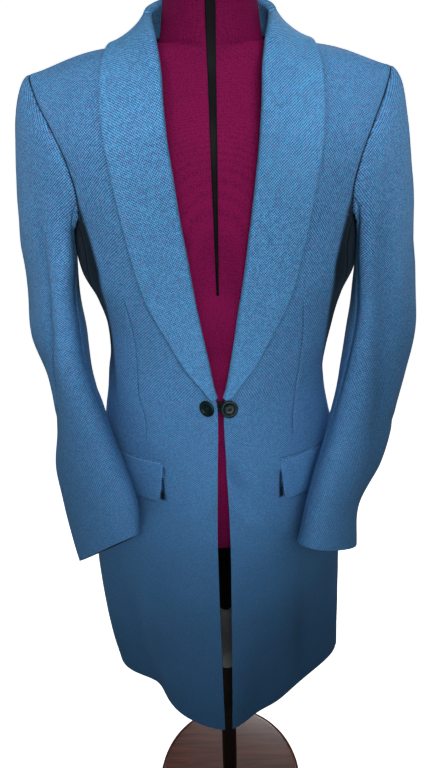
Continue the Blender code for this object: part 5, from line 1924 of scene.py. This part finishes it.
def build_stand():
    upper = ("steel tube, powder coated black", smooth_finish, "#070708", "#0E0E10", 40.0, 0.60, 0.15)
    sleeve = ("nylon sleeve, moulded, pale grey", smooth_finish, "#A9ACAF", "#BFC2C4", 30.0, 0.50, 0.30)
    lower = ("steel tube, powder coated dark", smooth_finish, "#2A2421", "#383029", 40.0, 0.60, 0.20)
    black, grey, dark = (named_material(*finish) for finish in (upper, sleeve, lower))
    levels = (BASE_THICKNESS, LOWER_TUBE_TOP, HEIGHT_SLEEVE_TOP, FORM[0][0] - STAND_GAP)
    pieces = (
        ("stand_tube_lower", LOWER_TUBE_RADIUS, dark, "dark_tube"),
        ("stand_height_sleeve", HEIGHT_SLEEVE_RADIUS, grey, "grey_sleeve"),
        ("stand_tube_upper", UPPER_TUBE_RADIUS, black, "black_tube"),
    )
    for (node, radius, finish, slot), bottom, top in zip(pieces, levels, levels[1:]):
        profile = tube_profile(radius, bottom + STAND_GAP, top)
        mesh = turned_mesh(f"turned_{node}", profile, 64, (0, 0, 0), (0, 0, 1))
        add_piece(f"turned_{node}", mesh, (finish,), slot, node)
    edge = BASE_RADIUS - BASE_ROUND
    profile = [(0.0, BASE_THICKNESS), (edge * 0.5, BASE_THICKNESS), (edge, BASE_THICKNESS)]
    for degrees in range(10, 91, 10):
        angle = math.radians(degrees)
        drop = BASE_ROUND * (1 - math.cos(angle))
        profile.append((edge + BASE_ROUND * math.sin(angle), BASE_THICKNESS - drop))
    profile += [(BASE_RADIUS, 0.003), (BASE_RADIUS - 0.001, 0.001), (BASE_RADIUS - 0.003, 0.0), (0.0, 0.0)]
    mesh = turned_mesh("turned_stand_base", profile, 128, (0, 0, 0), (0, 0, 1))
    finish = named_material("stained beech, turned and lacquered", stained_wood)
    add_piece("turned_stand_base", mesh, (finish,), "brown_wood", "stand_base")


# Stage


def build_stage():
    look = bpy.context.scene.day_coat
    scene = bpy.context.scene
    outline = [(0.0, 0.0), (STUDIO_RADIUS - STUDIO_COVE, 0.0)]
    for degrees in range(10, 91, 10):
        angle = math.radians(degrees)
        out = STUDIO_RADIUS - STUDIO_COVE * (1 - math.sin(angle))
        outline.append((out, STUDIO_COVE * (1 - math.cos(angle))))
    outline.append((STUDIO_RADIUS, STUDIO_HEIGHT))
    sides = 48
    points = [
        (radius * math.cos(2 * math.pi * n / sides), radius * math.sin(2 * math.pi * n / sides), height)
        for radius, height in outline[1:]
        for n in range(sides)
    ]
    faces = [tuple(range(sides))]
    for row in range(len(outline) - 2):
        for n in range(sides):
            low, high = row * sides, (row + 1) * sides
            following = (n + 1) % sides
            faces.append((low + following, low + n, high + n, high + following))
    mesh = bpy.data.meshes.new("studio_sweep")
    mesh.from_pydata(points, [], faces)
    mesh.shade_smooth()
    mesh.materials.append(named_material("studio paper, matt, lit to white", studio_paper))
    sweep = bpy.data.objects.new("studio_sweep", mesh)
    scene.collection.objects.link(sweep)
    sweep.visible_diffuse = False
    sweep.visible_glossy = False

    for name, place, aim, size, power, beam in LIGHTS:
        light = bpy.data.lights.new(name, "AREA")
        light.shape = "DISK"
        light.size = size
        light.energy = getattr(look, power)
        light.spread = math.radians(beam)
        item = bpy.data.objects.new(name, light)
        scene.collection.objects.link(item)
        way = Vector(aim) - Vector(place)
        item.matrix_world = Matrix.Translation(place) @ way.to_track_quat("-Z", "Y").to_matrix().to_4x4()
        item.visible_camera = False

    world = bpy.data.worlds.new("soft studio")
    world.use_nodes = True
    background = world.node_tree.nodes["Background"]
    background.inputs["Color"].default_value = (1, 1, 1, 1)
    background.inputs["Strength"].default_value = look.ambient
    scene.world = world
    scene.view_settings.view_transform = "Standard"

    camera = bpy.data.cameras.new("photo_camera")
    camera.sensor_fit = "VERTICAL"
    camera.sensor_height = 24.0
    camera.lens = 24.0 * FOCAL_PIXELS / PHOTO_HEIGHT
    camera.shift_x = SHIFT_PIXELS / PHOTO_HEIGHT
    camera.clip_start = 0.02
    item = bpy.data.objects.new("photo_camera", camera)
    scene.collection.objects.link(item)
    item.matrix_world = (
        Matrix.Translation(CAMERA_PLACE)
        @ Matrix.Rotation(math.radians(CAMERA_PITCH), 4, "X")
        @ Matrix.Rotation(math.radians(CAMERA_ROLL), 4, "Z")
    )
    scene.camera = item


# Add-on: sizes and colours, one operator for each group of pieces, and a panel


def colour_setting(name, default):
    return bpy.props.StringProperty(name=name, description="Hex colour", default=default)


def power_setting(name, default):
    return bpy.props.FloatProperty(name=name, description="Power", default=default, unit="POWER")


def strength_setting(name, description, default):
    return bpy.props.FloatProperty(name=name, description=description, default=default)


def pitch_setting(name, description, default):
    return bpy.props.FloatProperty(
        name=name, description=description, default=default, min=0.0005, max=0.02, unit="LENGTH", precision=4
    )


class DayCoatSettings(bpy.types.PropertyGroup):
    """Sizes and colours of the dressed coat, and the lights' power."""

    weave_pitch: pitch_setting("Weave Pitch", "Distance between two slanting rows of grains", 0.0023)
    collar_pitch: pitch_setting("Collar Weave Pitch", "The same on the closer pressed collar", 0.0021)
    light_yarn: colour_setting("Pale Yarn", "#60B0E4")
    lilac_yarn: colour_setting("Lilac Yarn", "#7B9BD0")
    cloth: colour_setting("Cloth", "#4079A9")
    dark_yarn: colour_setting("Dark Yarn", "#18416F")
    collar_light_yarn: colour_setting("Collar Pale Yarn", "#6AC1F6")
    collar_lilac_yarn: colour_setting("Collar Lilac Yarn", "#7FA6DB")
    collar_cloth: colour_setting("Collar Cloth", "#4387BA")
    collar_dark_yarn: colour_setting("Collar Dark Yarn", "#1A497B")
    form_cloth: colour_setting("Form Jersey", "#85154F")
    form_deep: colour_setting("Form Jersey Deep", "#620C3A")
    key_power: power_setting("Key Light", 2.08)
    low_power: power_setting("Low Light", 0.31)
    chest_power: power_setting("Chest Spot", 0.075)
    waist_power: power_setting("Waist Spot", 0.125)
    shoulder_power: power_setting("Shoulder Spots", 0.13)
    sleeve_power: power_setting("Sleeve Spot", 0.075)
    side_spot_power: power_setting("Side Spot", 0.040)
    back_power: power_setting("Back Light", 16.0)
    side_power: power_setting("Side Lights", 3.0)
    paper_glow: strength_setting("Paper Glow", "Light of the white paper", 1.0)
    ambient: strength_setting("Ambient", "Strength of the room's light", 0.02)


class DAYCOAT_OT_fronts(bpy.types.Operator):
    """Dress the two fronts, with their darts"""

    bl_idname = "day_coat.fronts"
    bl_label = "Fronts and Darts"

    def execute(self, context):
        for side, word in SIDES:
            build_front(side, word)
        return {"FINISHED"}


class DAYCOAT_OT_backs(bpy.types.Operator):
    """Dress the side panels and the two backs"""

    bl_idname = "day_coat.backs"
    bl_label = "Sides and Backs"

    def execute(self, context):
        for side, word in SIDES:
            build_side(side, word)
            build_back(side, word)
        return {"FINISHED"}


class DAYCOAT_OT_sleeves(bpy.types.Operator):
    """Dress both halves of each sleeve"""

    bl_idname = "day_coat.sleeves"
    bl_label = "Sleeves"

    def execute(self, context):
        for side, word in SIDES:
            build_sleeve(side, True, word)
            build_sleeve(side, False, word)
        return {"FINISHED"}


class DAYCOAT_OT_collar(bpy.types.Operator):
    """Dress the two halves of the shawl collar"""

    bl_idname = "day_coat.collar"
    bl_label = "Shawl Collar"

    def execute(self, context):
        for side, word in SIDES:
            build_collar(side, word)
        return {"FINISHED"}


class DAYCOAT_OT_pockets(bpy.types.Operator):
    """Dress the pocket flaps and their piping"""

    bl_idname = "day_coat.pockets"
    bl_label = "Pocket Flaps"

    def execute(self, context):
        for side, word in SIDES:
            jet = build_jet(side, word)
            build_flap(side, word)
        return {"FINISHED"}


class DAYCOAT_OT_buttons(bpy.types.Operator):
    """Make the horn buttons and the plaited link"""

    bl_idname = "day_coat.buttons"
    bl_label = "Buttons and Link"

    def execute(self, context):
        build_front_buttons()
        for side, word in SIDES:
            build_cuff_buttons(side, word)
        build_link()
        return {"FINISHED"}


class DAYCOAT_OT_form(bpy.types.Operator):
    """Make the covered dress form and its stand"""

    bl_idname = "day_coat.form"
    bl_label = "Dress Form and Stand"

    def execute(self, context):
        build_form()
        build_slot()
        build_stand()
        return {"FINISHED"}


class DAYCOAT_OT_stage(bpy.types.Operator):
    """Set the white room, the lights and the camera"""

    bl_idname = "day_coat.stage"
    bl_label = "Room, Lights and Camera"

    def execute(self, context):
        build_stage()
        return {"FINISHED"}


OPERATORS = (
    DAYCOAT_OT_fronts,
    DAYCOAT_OT_backs,
    DAYCOAT_OT_sleeves,
    DAYCOAT_OT_collar,
    DAYCOAT_OT_pockets,
    DAYCOAT_OT_buttons,
    DAYCOAT_OT_form,
    DAYCOAT_OT_stage,
)


class DAYCOAT_PT_panel(bpy.types.Panel):
    """Sizes, colours and pieces of the day coat"""

    bl_label = "Day Coat"
    bl_idname = "DAYCOAT_PT_panel"
    bl_space_type = "VIEW_3D"
    bl_region_type = "UI"
    bl_category = "Day Coat"

    def draw(self, context):
        column = self.layout.column()
        for name in DayCoatSettings.__annotations__:
            column.prop(context.scene.day_coat, name)
        for operator in OPERATORS:
            column.operator(operator.bl_idname)


CLASSES = (DayCoatSettings,) + OPERATORS + (DAYCOAT_PT_panel,)


def register():
    for item in CLASSES:
        bpy.utils.register_class(item)
    bpy.types.Scene.day_coat = bpy.props.PointerProperty(type=DayCoatSettings)


def unregister():
    del bpy.types.Scene.day_coat
    for item in reversed(CLASSES):
        bpy.utils.unregister_class(item)


def main():
    register()
    for operator in OPERATORS:
        group, name = operator.bl_idname.split(".")
        getattr(getattr(bpy.ops, group), name)()


if __name__ == "__main__":
    main()
